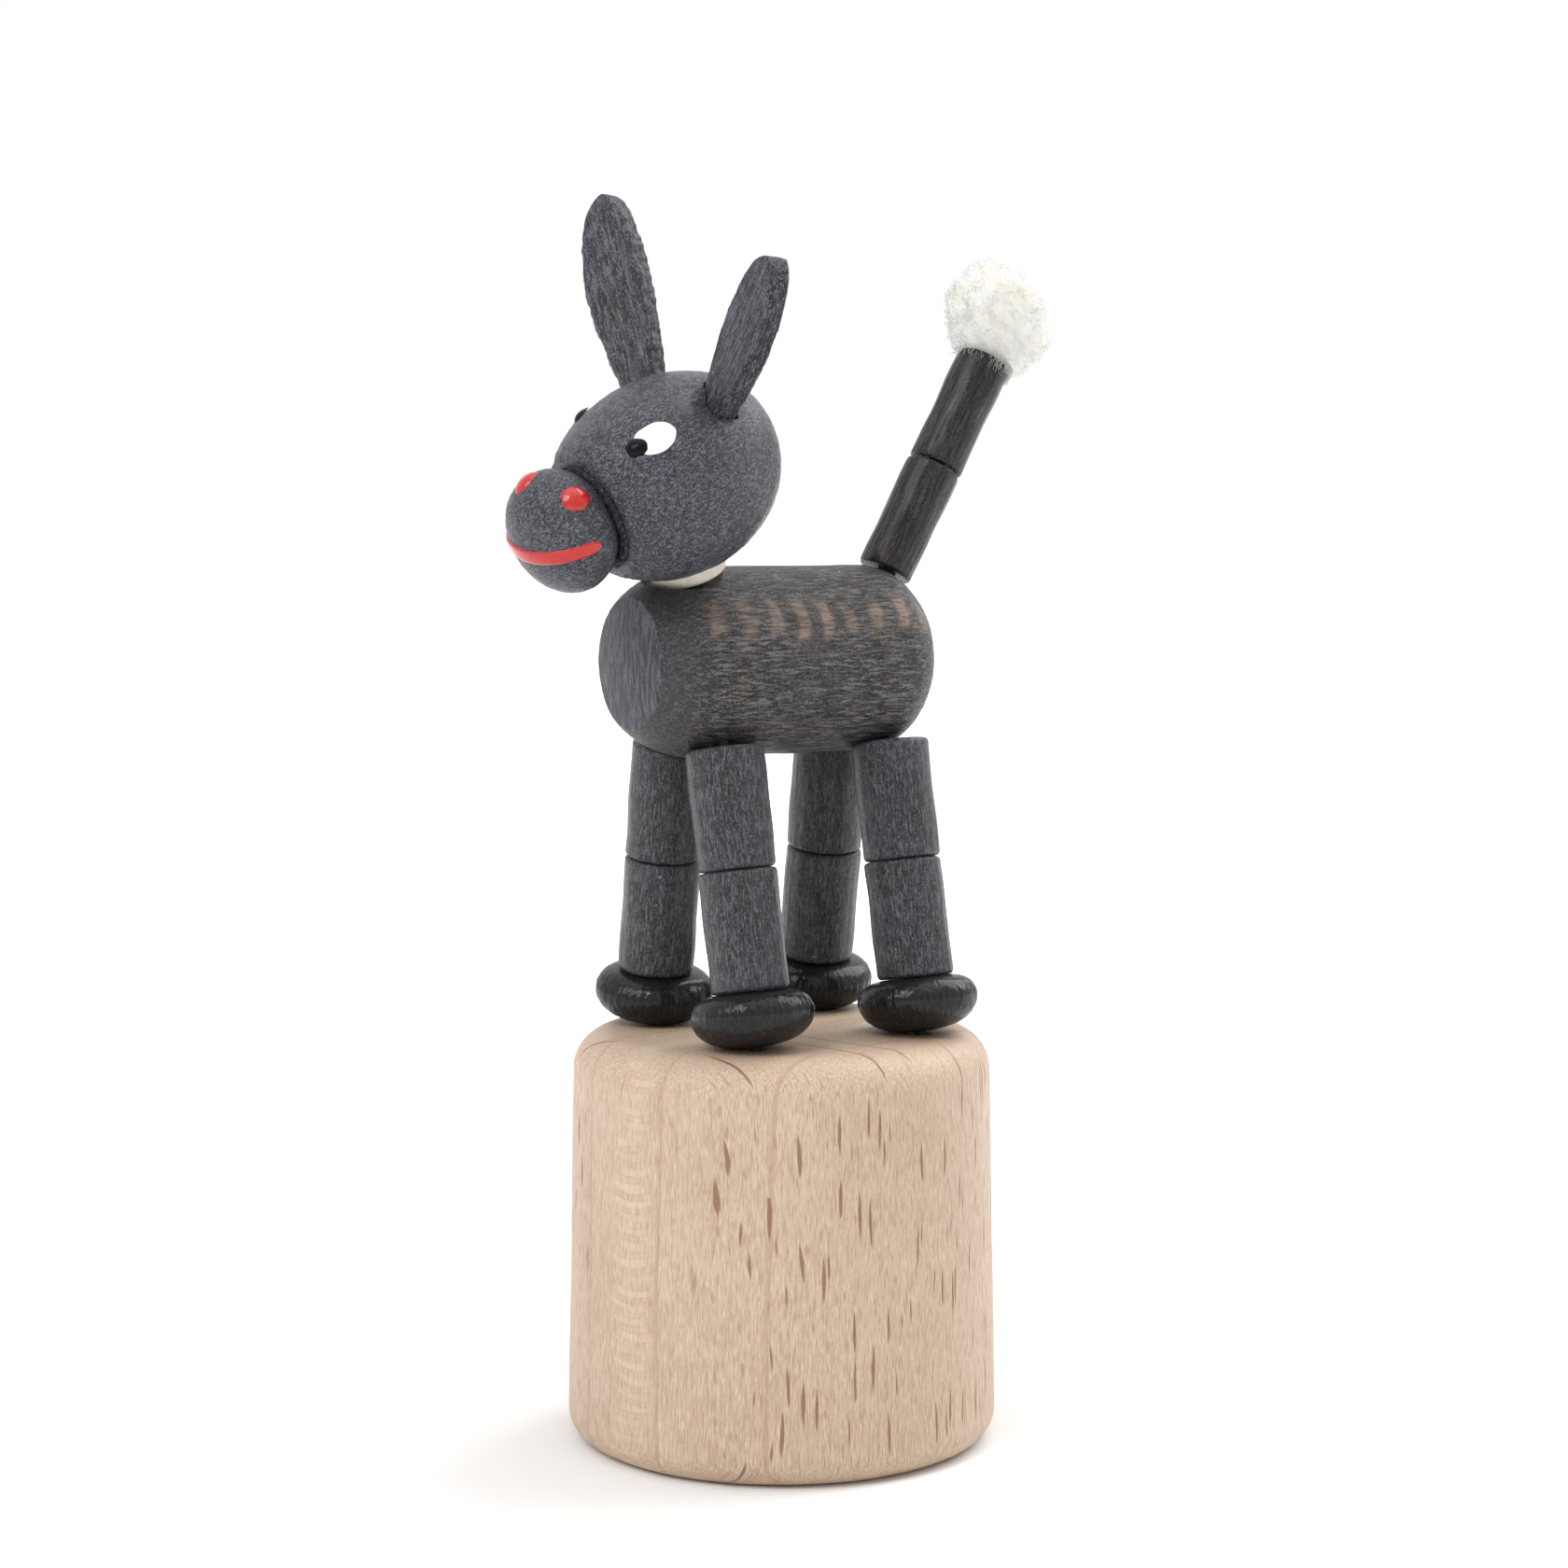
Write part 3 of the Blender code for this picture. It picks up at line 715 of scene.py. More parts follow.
def torso_room(slack):
    """A cutter as wide as the torso with some slack, for what nestles against it."""
    low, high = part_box("torso")
    middle = (low.z + high.z) / 2
    radius = (high.x - low.x) / 2 / MM + slack
    return rod(Vector((0, low.y, middle)), Vector((0, high.y, middle)), radius, 160)


def make_hoof(leg, seed):
    name = "hoof_" + leg
    place, local = axes_of(name)
    radius, low, high, bore = span(local)
    low = low - 0.30
    lens = ((0.58, 1.0), (0.76, 0.955), (0.90, 0.86), (0.98, 0.72), (1.0, 0.60), (0.975, 0.46), (0.90, 0.31),
            (0.78, 0.19), (0.63, 0.10), (0.45, 0.045), (0.28, 0.01))
    side = [(radius * share, low + (high - low) * rise) for share, rise in lens]
    profile = run((bore, high), side[0], 5) + curve(side, 4)[1:]
    profile += run(side[-1], (bore, low), 4) + run((bore, low), (bore, high), 3)
    wear = lathe_wear(seed, 0.10, 0.07, fine=4.6)
    stand_in(turned(name, profile, 256, wear, HOOF, place, seed, True), name, name)


def make_legs():
    for count, leg in enumerate(LEGS):
        make_hoof(leg, 0.21 + 0.37 * count)
        make_bead("lower_leg_" + leg, 0.43 + 0.53 * count, 0.27, 0.13)
        make_bead("upper_leg_" + leg, 0.77 + 0.61 * count, 0.13, 0.5, cutters=[torso_room(0.08)])
    make_bead("tail_lower", 2.9, 0.28, 0.08, 0.28, 0.6, TAIL)
    make_bead("tail_upper", 3.7, 0.08, 0.6, 0.28, 0.6, TAIL)


# Torso

def neck_axes():
    """The neck's frame in metres: x to the donkey's left, y to its back, z up the neck."""
    up = Vector(joints["head_turn"]["axis"]).normalized()
    back = Vector(joints["neck_loll"]["axis"]).normalized()
    left = back.cross(up).normalized()
    turn = Matrix((left, back, up)).transposed()
    return Matrix.LocRotScale(Vector(joints["head_turn"]["pos_m"]), turn, None)


NECK = neck_axes()


def make_torso():
    low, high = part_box("torso")
    radius = (high.x - low.x) / 2 / MM
    middle = Vector((0, (low.y + high.y) / 2, (low.z + high.z) / 2))
    half = (high.y - low.y) / 2 / MM
    turn = math.radians(SHOULDER_EDGE)
    inward = (radius - FACE_RADIUS) / (1 - math.cos(turn))
    along = (SHOULDER - FACE_DOME) / math.sin(turn)
    rump = RUMP - half
    profile = [(0, half)]
    profile += [(FACE_RADIUS * i / 16, half - FACE_DOME * (i / 16) ** 2) for i in range(1, 16)]
    profile += arc((radius - inward, half - SHOULDER), (inward, along), SHOULDER_EDGE, 0, 18)
    profile += run((radius, half - SHOULDER), (radius, rump), 44)
    profile += arc((RUMP_FLAT, rump), (radius - RUMP_FLAT, RUMP), 0, -90, 22)[1:]
    profile += run((RUMP_FLAT, -half), (0, -half), 6)
    place = Matrix.LocRotScale(middle, Matrix.Rotation(math.pi / 2, 3, "X"), None)
    cutters = [rod(on_axis(NECK, -0.3), on_axis(NECK, 7), NECK_SEAT, 48)]
    for leg in LEGS:
        entry, leave = hip_run(leg)
        way = (leave - entry).normalized() * MM
        cutters.append(rod(entry - 2 * way, leave + 1.5 * way, BORE * 0.56))
    wear = lathe_wear(1.7, 0.08, 0.05)
    torso = turned("torso", profile, 120, wear, TORSO, place, sharp=TORSO_SMOOTH, cutters=cutters)
    stand_in(torso, "torso", "torso")


def tail_axes():
    """The tail's frame in metres, from its root with z along it, and the length of a bead in mm."""
    place, local = axes_of("tail_lower")
    low, high = span(local)[1:3]
    return place @ Matrix.Translation((0, 0, low * MM)), high - low


def twin(leg):
    """How far a leg's cord lies from the middle of a bore that two cords share."""
    return Vector((PAIR * MM if leg.endswith("left") else -PAIR * MM, 0, 0))


def hip_run(leg):
    """Where a leg's cord enters and leaves the torso."""
    carrier = NECK if leg.startswith("front") else tail_axes()[0]
    return ends("upper_leg_" + leg)[2], carrier @ twin(leg)


# Head, muzzle, ring and ears

def head_axes():
    """The head's frame in metres: x forward, y to its left, z up, from the middle of its egg."""
    place, local = axes_of("muzzle", -NECK.col[1].to_3d())
    forward = place.col[2].to_3d()
    front = on_axis(place, span(local)[2])
    middle = front - forward * (MUZZLE_LONG + MUZZLE_FORWARD) * MM
    left = NECK.col[0].to_3d()
    up = forward.cross(left)
    return Matrix.LocRotScale(middle, Matrix((forward, left, up)).transposed(), None)


HEAD_PLACE = head_axes()
HEAD_POINTS = [HEAD_PLACE.inverted() @ corner.co / MM for corner in nodes["head"].data.vertices]
HEAD_LONG = -min(point.x for point in HEAD_POINTS)
HEAD_RADIUS = max(math.hypot(point.y, point.z) for point in HEAD_POINTS)
MUZZLE_RADIUS = span(axes_of("muzzle", (0, -1, 0))[1])[0]
EGG = (HEAD_LONG, HEAD_RADIUS, HEAD_RADIUS)
BALL = (MUZZLE_LONG, MUZZLE_RADIUS, MUZZLE_RADIUS)
MUZZLE_PLACE = HEAD_PLACE @ Matrix.Translation((MUZZLE_FORWARD * MM, 0, 0))
LYING = Matrix.Rotation(math.pi / 2, 4, "Y")


def fuzzy_wear(seed, lumps, fuzz):
    """Rough raised fibres on a ball: slow lumps and fine fuzz, straight outwards."""
    shift = Vector((seed * 3.1, seed * 5.9, seed * 2.3))

    def wear(point):
        outward = point.normalized()
        lump = noise.noise(point * 0.3 + shift) * lumps
        fine = noise.noise(point * 3.1 + shift) * fuzz
        return point + outward * (lump + fine)
    return wear


EAR_SEATS = (((-2.6, 4.2, 5.2), 1.15), ((-2.7, -5.0, 4.6), 0.7))


def worn(point):
    """A point of the head's egg as sanded: flatter on the crown and back, dished where the ears sit."""
    crown = max(point.z, 0.0) / HEAD_RADIUS
    nape = max(-point.x, 0.0) / HEAD_LONG
    moved = Vector((point.x * (1 - 0.05 * nape), point.y, point.z * (1 - 0.10 * crown ** 2)))
    for seat, depth in EAR_SEATS:
        dish = depth * math.exp(-((point - Vector(seat)).length / 1.7) ** 2)
        moved -= Vector((0, point.y, point.z)).normalized() * dish
    return moved


def head_wear(point):
    fuzzy = fuzzy_wear(1.3, 0.07, 0.05)(point)
    torn = max(1 - (HEAD_CUT - point.z) / 1.5, 0.0)
    crinkle = noise.noise(Vector((point.x * 2.3, point.y * 2.3, point.z * 0.7))) * 0.34 * torn
    fuzzy += Vector((point.x, point.y, 0)).normalized() * crinkle
    sanded = worn(Vector((fuzzy.z, fuzzy.y, -fuzzy.x)))
    return Vector((-sanded.z, sanded.y, sanded.x))


def make_head():
    start = math.degrees(math.asin(HEAD_CUT / HEAD_LONG))
    rim = HEAD_RADIUS * math.cos(math.radians(start))
    profile = [(0, HEAD_CUT)] + run((0, HEAD_CUT), (rim - 0.2, HEAD_CUT), 8)
    profile += arc((0, 0), (HEAD_RADIUS, HEAD_LONG), start - 1.0, -89.9, 84)
    profile.append((0, -HEAD_LONG))
    cutters = [rod(on_axis(NECK, -5), on_axis(NECK, RING_HEIGHT + 0.3), HEAD_SEAT, 64)]
    for ear in EARS:
        place, shape = ear_shape(ear, 0.15)
        cutters.append(add("ear_slot", close("ear_slot", shape), EAR, place))
    head = turned("head", profile, 144, head_wear, HEAD, HEAD_PLACE @ LYING, cutters=cutters)
    stand_in(head, "head", "head")

    back = HEAD_CUT + 0.15 - MUZZLE_FORWARD
    stop = math.degrees(math.asin(back / MUZZLE_LONG))
    profile = [(0, MUZZLE_LONG)] + arc((0, 0), (MUZZLE_RADIUS, MUZZLE_LONG), 89, stop, 60) + [(0, back)]
    muzzle = turned("muzzle", profile, 120, fuzzy_wear(2.1, 0.06, 0.04), HEAD, MUZZLE_PLACE @ LYING)
    stand_in(muzzle, "muzzle", "head")


def make_ring():
    place, local = axes_of("neck_ring")
    profile = bead_profile(*span(local), 0.3, 8)
    piece = turned("neck_ring", profile, 72, lathe_wear(0.9, 0.03, 0.01), CREAM, place, closed=True)
    stand_in(piece, "neck_ring", "neck_ring")


def ear_axes(name):
    """An ear's frame in metres, x across, y through, z along it from its root, and its half sizes in mm."""
    points, middle, _, ways = spread_of(name)
    along = ways[2] if ways[2].z > 0 else -ways[2]
    through = ways[0] if ways[0].y > 0 else -ways[0]
    across = through.cross(along)
    turn = Matrix((across, through, along)).transposed()
    local = (points - middle) @ np.array(turn)
    root = Vector(middle) + turn @ Vector((0, 0, float(local[:, 2].min())))
    wide, deep = (float(np.abs(local[:, i]).max()) for i in (0, 1))
    return Matrix.LocRotScale(root * MM, turn, None), (wide, deep, float(np.ptp(local[:, 2])) / 2)


# Ears: the seed of their ragged edges, how far the tip leans in mm, and how round it is
EARS = {"ear_left": (0.4, 0.0, 0.15), "ear_right": (1.9, 0.9, 0.75)}
EAR_SHAPE = ((0.0, 0.36), (0.04, 0.57), (0.12, 0.66), (0.26, 0.79), (0.42, 0.95), (0.56, 1.0), (0.70, 0.95),
             (0.80, 0.84), (0.88, 0.70), (0.94, 0.52), (0.98, 0.30), (1.0, 0.08))


def lath_section():
    """Points round a lath's cross section, from -1 to 1 both ways, with its corners just broken."""
    wide = [i / 10 - 1 for i in range(1, 20)]
    deep = [i / 4 - 1 for i in range(1, 8)]
    front = [(u, -1) for u in wide] + [(1, v) for v in deep]
    return front + [(-u, -v) for u, v in front]


def ear_width(share):
    """Half the ear's width at a share of its length, as a share of its greatest."""
    for (low, first), (high, last) in zip(EAR_SHAPE, EAR_SHAPE[1:]):
        if share <= high:
            turn = (share - low) / (high - low)
            return first + (last - first) * turn
    return EAR_SHAPE[-1][1]


def ear_shape(name, slack=0.0):
    """A sawn lath with ragged edges, as its place and a bmesh; slack makes it larger all round."""
    seed, leaning, rounding = EARS[name]
    place, half = ear_axes(name)
    length = half[2] * 2
    rows = 90
    shift = Vector((seed, seed * 2.2, seed * 0.7))
    section = lath_section()

    def skin(row, u, v):
        """A point on the ear's outside: row along it, u and v on its cross section."""
        share = row / rows
        rag = noise.noise(Vector((u * 2, share * 34, v * 0.6)) + shift) * 0.15
        rag += noise.noise(Vector((u * 2, share * 10, v * 0.4)) + shift) * 0.16
        grain = noise.noise(Vector((u * 7, share * 3.5, v * 3)) + shift) * 0.09
        width = half[0] * ear_width(share) + rag * abs(u) ** 6 * min(1.0, (1 - share) * 12) - 0.08 + slack
        tip = max(share - 0.93, 0.0) / 0.07
        depth = (half[1] + grain * abs(v) - 0.03) * math.sqrt(1 - rounding * tip ** 2) + slack
        lean = leaning * max(share - 0.5, 0.0) ** 2 * 4
        return Vector((u * max(width, 0.05) + lean, v * depth, share * length - slack))

    shape = bmesh.new()
    rings = [[shape.verts.new(skin(row, u, v)) for u, v in section] for row in range(rows + 1)]
    bridge(shape, rings)
    return place, shape


def make_ears():
    for name, (seed, *_) in EARS.items():
        place, shape = ear_shape(name)
        piece = add(name + "_sawn", close(name + "_sawn", shape, seed), EAR, place)
        stand_in(piece, name, "head")


def make_seam():
    """Dried glue and torn fibres in the crease between head and muzzle."""
    radius, wide, thick = 3.7, 0.42, 0.26
    profile = [(radius + wide * cosine, HEAD_CUT + 0.1 + thick * sine) for cosine, sine in circle(10)]
    mesh = spun("muzzle_seam", profile, 120, fuzzy_wear(3.3, 0.10, 0.22), closed=True)
    mount(add("muzzle_seam", mesh, SEAM, HEAD_PLACE @ LYING), "head")


# Paint on the face, in millimetres

PAINT_UNDER = 0.12
EYE_WHITE = (1.62, 1.28)
PUPIL = (0.84, 0.80)
NOSTRIL = (1.08, 0.95)


def on_egg(sizes, start, way):
    """Where a line in mm from start along way meets the outside of an egg with these half sizes."""
    scaled = Vector(start[i] / sizes[i] for i in range(3))
    heading = Vector(way[i] / sizes[i] for i in range(3))
    a = heading.dot(heading)
    b = 2 * scaled.dot(heading)
    c = scaled.dot(scaled) - 1
    reach = (-b - math.sqrt(max(b * b - 4 * a * c, 0.0))) / (2 * a)
    return start + way * reach


def egg_normal(sizes, point):
    return Vector(point[i] / sizes[i] ** 2 for i in range(3)).normalized()


def daub(name, look, place, sizes, spot, radii, tilt, thick, seed, dome=4.0, ragged=0.06, form=None):
    """A drop of paint on an egg: spot is near its middle, radii and tilt its outline, thick its height."""
    spot = Vector(spot)
    normal = egg_normal(sizes, spot)
    spot = on_egg(sizes, spot + normal * 3, -normal)
    normal = egg_normal(sizes, spot)
    first = (Vector((1, 0, 0)) - normal * normal.x).normalized()
    second = normal.cross(first)
    rows, spokes = 14, 48
    shape = bmesh.new()
    rings = []
    for row in range(rows + 2):
        share = min(row / rows, 1.0)
        ring = []
        for cosine, sine in circle(spokes):
            edge = 1 + ragged * noise.noise(Vector((cosine * 1.6, sine * 1.6, seed)))
            along = radii[0] * cosine * share * edge
            aside = radii[1] * sine * share * edge
            x = along * math.cos(tilt) - aside * math.sin(tilt)
            y = along * math.sin(tilt) + aside * math.cos(tilt)
            ground = on_egg(sizes, spot + first * x + second * y + normal * 3, -normal)
            height = thick * (1 - share ** dome) + 0.02 if row <= rows else -PAINT_UNDER
            top = ground + egg_normal(sizes, ground) * height
            ring.append(shape.verts.new(top if form is None else form(top)))
        rings.append(ring)
    bridge(shape, rings, False)
    shape.faces.new(list(reversed(rings[-1])))
    bmesh.ops.remove_doubles(shape, verts=rings[0], dist=0.0001)
    mount(add(name, close(name, shape, seed, PAINT_SMOOTH), look, place), "head")


def make_mouth():
    """A stripe of red paint round the front of the muzzle."""
    columns, rows = 96, 10
    reach = math.radians(93)
    shape = bmesh.new()
    strip = []
    for column in range(columns + 1):
        share = 2 * column / columns - 1
        turn = share * reach
        smile = -0.1 - 0.2 * math.tanh((turn + 0.14) / 0.35) - 0.3 * max(share - 0.8, 0.0)
        taper = max(1 - abs(share) ** 16, 0.0) ** 0.5
        half = (0.54 + 0.05 * math.sin(4 * share)) * taper + 0.01
        line = []
        for row in range(rows + 1):
            side = 2 * row / rows - 1
            rise = smile + half * side
            start = Vector((MUZZLE_LONG * 2 * math.cos(turn), MUZZLE_RADIUS * 2 * math.sin(turn), rise))
            way = Vector((-math.cos(turn) * MUZZLE_LONG, -math.sin(turn) * MUZZLE_RADIUS, 0)).normalized()
            ground = on_egg(BALL, start, way)
            height = -PAINT_UNDER
            if 0 < row < rows:
                height = 0.10 * (1 - abs(side) ** 4) * min(taper * 1.5, 1.0) + 0.035
            line.append(shape.verts.new(ground + egg_normal(BALL, ground) * height))
        strip.append(line)
    for first, last in zip(strip, strip[1:]):
        for row in range(rows):
            shape.faces.new((first[row], last[row], last[row + 1], first[row + 1]))
    bmesh.ops.holes_fill(shape, edges=[edge for edge in shape.edges if edge.is_boundary])
    mesh = close("mouth_paint", shape, sharp=PAINT_SMOOTH)
    mount(add("mouth_paint", mesh, RED, MUZZLE_PLACE), "head")


def make_face():
    eyes = {"left": ((3.0, 4.6, 4.9), (4.3, 4.2, 4.75), -0.15),
            "right": ((1.6, -3.9, 5.9), (3.0, -3.75, 5.6), 0.15)}
    for count, (name, (white, pupil, tilt)) in enumerate(eyes.items()):
        daub("eye_white_" + name, WHITE, HEAD_PLACE, EGG, white, EYE_WHITE, tilt, 0.05, 0.3 + count,
             dome=8.0, form=worn)
        daub("pupil_" + name, BLACK, HEAD_PLACE, EGG, pupil, PUPIL, 0.0, 0.34, 1.7 + count,
             dome=2.2, ragged=0.14, form=worn)
    for count, spot in enumerate(((-0.1, 3.4, 3.12), (1.0, -0.95, 4.3))):
        daub("nostril_" + str(count), RED, MUZZLE_PLACE, BALL, spot, NOSTRIL, 0.0, 0.24, 2.9 + count,
             dome=2.6)
    make_mouth()


# Pom-pom

POMPOM_WIDE = 3.45
POMPOM_LONG = 4.25
POMPOM_UP = 4.30
POMPOM_BACK = 0.70
POMPOM_HANG = Vector((0.38, 0.63, -0.69))
YARN_STRANDS = 3000
STRAY_EVERY = 14
FRINGE_HAIRS = 190
HAIR_STEPS = [step / 6 for step in range(7)]


def hair(shape, spots, thick, side, other):
    """One hair through spots in millimetres, thinner to its end."""
    bridge(shape, [hoop(shape, spot, thick * (1 - 0.6 * (step / len(spots)) ** 2), side, other, 3)
                   for step, spot in enumerate(spots)])


def make_pompom():
    """Brushed yarn on the tail's end, longer the way it droops, with hairs that fringe the bead's rim."""
    foot = ends("tail_upper")[2] / MM
    place, local = axes_of("tail_upper")
    rim = span(local)[0]
    up = place.col[2].to_3d()
    hang = (POMPOM_HANG - up * POMPOM_HANG.dot(up)).normalized()
    droop = (hang * 0.9 - up * 0.44).normalized()
    middle = foot + up * POMPOM_UP - hang * POMPOM_BACK
    draw = random.Random(7)

    def reach(way):
        """How far the yarn stands from the middle in a direction."""
        along = way.dot(droop)
        egg = 1 / math.sqrt((1 - along * along) / POMPOM_WIDE ** 2 + along * along / POMPOM_LONG ** 2)
        tuft = max(along, 0.0) ** 4
        collar = max(-0.55 - way.dot(up), 0.0)
        return egg * (1 + 0.12 * tuft + 0.55 * collar + 0.11 * noise.noise(way * 2.3))

    def any_way():
        return Vector((draw.gauss(0, 1), draw.gauss(0, 1), draw.gauss(0, 1))).normalized()

    core = bmesh.new()
    bmesh.ops.create_icosphere(core, subdivisions=6, radius=1.0)
    for corner in core.verts:
        way = corner.co.normalized()
        curls = abs(noise.noise(way * 7.0)) + 0.7 * abs(noise.noise(way * 15.0))
        curls += 0.5 * abs(noise.noise(way * 31.0))
        corner.co = middle + way * reach(way) * (0.985 - 0.035 * curls)
    mount(add("pompom_core", close("pompom_core", core, sharp=180.0), YARN), "tail_upper")

    shape = bmesh.new()
    for strand in range(YARN_STRANDS):
        way = any_way()
        size = reach(way)
        lean = any_way() + droop * 0.25
        lean = (lean - way * lean.dot(way)).normalized()
        curl = any_way() * draw.uniform(0.08, 0.22)
        root = way * size * 0.92
        stray = 0.16 if strand % STRAY_EVERY == 0 else 0.06
        tip = way * size * draw.uniform(0.98, 1.01 + stray) + lean * draw.uniform(0.2, 0.9)
        spots = [middle + root.lerp(tip, t) + way * 0.25 * math.sin(t * 3.1) + curl * math.sin(t * 8.0)
                 for t in HAIR_STEPS]
        hair(shape, spots, draw.uniform(0.015, 0.030), way.cross(lean), way)
    for _ in range(FRINGE_HAIRS):
        out = any_way() + hang * 0.6
        out = (out - up * out.dot(up)).normalized()
        aside = up.cross(out)
        root = foot + up * draw.uniform(0.8, 1.5) + out * rim * draw.uniform(0.7, 1.0)
        bend = foot + up * 0.75 + out * (rim + draw.uniform(0.05, 0.4))
        tip = foot + up * draw.uniform(-0.75, 0.55) + out * (rim + draw.uniform(0.06, 0.3))
        tip += aside * draw.uniform(-0.5, 0.5)
        wave = aside * draw.uniform(-0.12, 0.12)
        spots = [root.lerp(bend, t).lerp(bend.lerp(tip, t), t) + wave * math.sin(t * 9.0)
                 for t in HAIR_STEPS]
        hair(shape, spots, draw.uniform(0.018, 0.034), aside, out)
    piece = add("pompom_strands", close("pompom_strands", shape, sharp=180.0), FLUFF)
    stand_in(piece, "pompom", "tail_upper")


# Spring and cords

def tube(name, points, radii, look, sides=12):
    """A round tube along points in metres; radii are in millimetres."""
    shape = bmesh.new()
    rings = []
    side = None
    for i, point in enumerate(points):
        ahead = (points[min(i + 1, len(points) - 1)] - points[max(i - 1, 0)]).normalized()
        side = ahead.orthogonal() if side is None else side - ahead * side.dot(ahead)
        side = side.normalized()
        rings.append(hoop(shape, point / MM, radii[i], side, ahead.cross(side), sides))
    bridge(shape, rings)
    return add(name, close(name, shape), look)


def make_spring():
    low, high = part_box("return_spring")
    coil = high.x - WIRE_RADIUS * MM
    bottom = low.z + WIRE_RADIUS * MM
    top = high.z - WIRE_RADIUS * MM
    turns, per_turn, end_pitch = 6, 36, 1.5 * MM
    middle_pitch = (top - bottom - 2 * end_pitch) / (turns - 2)
    points = []
    for step in range(turns * per_turn + 1):
        turn = step / per_turn
        rise = min(turn, 1.0) * end_pitch + max(turn - turns + 1, 0.0) * end_pitch
        rise += min(max(turn - 1.0, 0.0), turns - 2) * middle_pitch
        angle = 2 * math.pi * turn
        points.append(Vector((coil * math.cos(angle), coil * math.sin(angle), bottom + rise)))
    spring = tube("spring_coil", points, [WIRE_RADIUS] * len(points), WIRE)
    stand_in(spring, "return_spring", "base")
    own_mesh(spring)


def cord(leg, part, stops, bodies, bend=None):
    """A stretch of a leg's cord through stops, on the first of its bodies, or on no body where bend is
    given; the bend points themselves are not used.
    """
    points = []
    for first, last in zip(stops, stops[1:]):
        count = max(2, int((last - first).length / (CORD_STEP * MM)))
        points += [first.lerp(last, i / count) for i in range(count)]
    points.append(stops[-1])
    name = "cord_" + leg
    piece = tube(name + "_" + part, points, [CORD_RADIUS] * len(points), CORD, sides=10)
    if bend is None:
        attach(piece, bodies[0])
    else:
        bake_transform(piece)
    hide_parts(name)
    return piece


KNOT = ((0.0, 0.30), (0.10, 0.75), (0.35, 1.05), (0.75, 1.15), (1.15, 1.12), (1.55, 1.08), (1.95, 0.85),
        (2.25, 0.5))


def make_knot(leg, spot, top):
    """The knot that holds a cord under the button, with the cord up to the button's top."""
    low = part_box("cord_" + leg)[0].z
    points = [at(spot, low + rise * MM) for rise, radius in KNOT]
    radii = [radius * (1 + 0.08 * math.sin(3 * rise)) for rise, radius in KNOT]
    points += [at(spot, low + 2.5 * MM), at(spot, top)]
    radii += [CORD_RADIUS, CORD_RADIUS]
    stand_in(tube("knot_" + leg, points, radii, CORD, 20), "cord_" + leg, "button")


def make_cords():
    drum_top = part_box("base_drum")[1].z
    button_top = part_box("push_button")[1].z
    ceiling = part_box("return_spring")[1].z
    for leg in LEGS:
        hoof, lower, upper = (ends(part + leg) for part in ("hoof_", "lower_leg_", "upper_leg_"))
        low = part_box("cord_" + leg)[0].z
        under = [corner.co for corner in nodes["cord_" + leg].data.vertices if corner.co.z < low + 2 * MM]
        spot = sum(under, Vector()) / len(under)
        make_knot(leg, spot, button_top + 0.2 * MM)
        start = at(spot, button_top)
        gate = at(hoof[0], ceiling)
        mouth = at(hoof[0], drum_top)
        stretch = cord(leg, "drum", [start, gate, gate.lerp(mouth, 0.2)], ["base"])
        length = ceiling - button_top
        (length - PRESS) / length
        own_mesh(stretch)
        if leg == "rear_left":
            cord(leg, "foot", [gate, mouth, hoof[1]], ["base", "hoof_" + leg], [mouth, hoof[0]])
        else:
            cord(leg, "foot", [gate, mouth, hoof[0].lerp(hoof[1], 0.6)], ["base"])
        cord(leg, "ankle", [hoof[1], hoof[2], lower[0], lower[1]], ["hoof_" + leg, "lower_leg_" + leg],
             [hoof[1].lerp(hoof[2], 0.7), lower[0].lerp(lower[1], 0.1)])
        cord(leg, "knee", [lower[1], lower[2], upper[0], upper[1]], ["lower_leg_" + leg, "upper_leg_" + leg],
             [lower[1].lerp(lower[2], 0.9), upper[0].lerp(upper[1], 0.1)])
        entry, leave = hip_run(leg)
        inside = entry.lerp(leave, 0.25)
        near = entry.lerp(leave, 0.85)
        cord(leg, "hip", [upper[1], upper[2], inside], ["upper_leg_" + leg, "torso"],
             [upper[1].lerp(upper[2], 0.9), entry.lerp(leave, 0.06)])
        cord(leg, "torso", [inside, near], ["torso"])
        aside = twin(leg)
        if leg.startswith("front"):
            rises = (0.0, RING_HEIGHT / 2, RING_HEIGHT, RING_HEIGHT + 3.0)
            foot, ring, rim, top = [on_axis(NECK, rise, aside) for rise in rises]
            cord(leg, "neck", [near, leave, ring], ["torso", "neck_ring"],
                 [near.lerp(leave, 0.7), foot.lerp(ring, 0.5)])
            cord(leg, "head", [ring, rim, top], ["neck_ring", "head"],
                 [ring.lerp(rim, 0.8), rim.lerp(top, 0.2)])
        else:
            root, length = tail_axes()
            beads = (0.5, 1.0, 1.5, 2.25)
            first, joint, second, tip = [on_axis(root, bead * length, aside) for bead in beads]
            cord(leg, "tail_root", [near, leave, first], ["torso", "tail_lower"],
                 [near.lerp(leave, 0.8), leave.lerp(first, 0.15)])
            cord(leg, "tail_joint", [first, joint, second], ["tail_lower", "tail_upper"],
                 [first.lerp(joint, 0.9), joint.lerp(second, 0.15)])
            cord(leg, "tail_tip", [second, tip], ["tail_upper"])


# Floor, light and camera

AMBIENT = 0.60
FLOOR_HALF = 6.0

# The floor's own glow near and far, and the distances in mm where it starts, turns and ends
NEAR_GLOW = 0.22
FAR_GLOW = 0.50
GLOW_START = 17.0
GLOW_TURN = 50.0
GLOW_END = 420.0
WHITE_LIGHT = (1.0, 1.0, 1.0)
NO_LIGHT = (0.0, 0.0, 0.0)

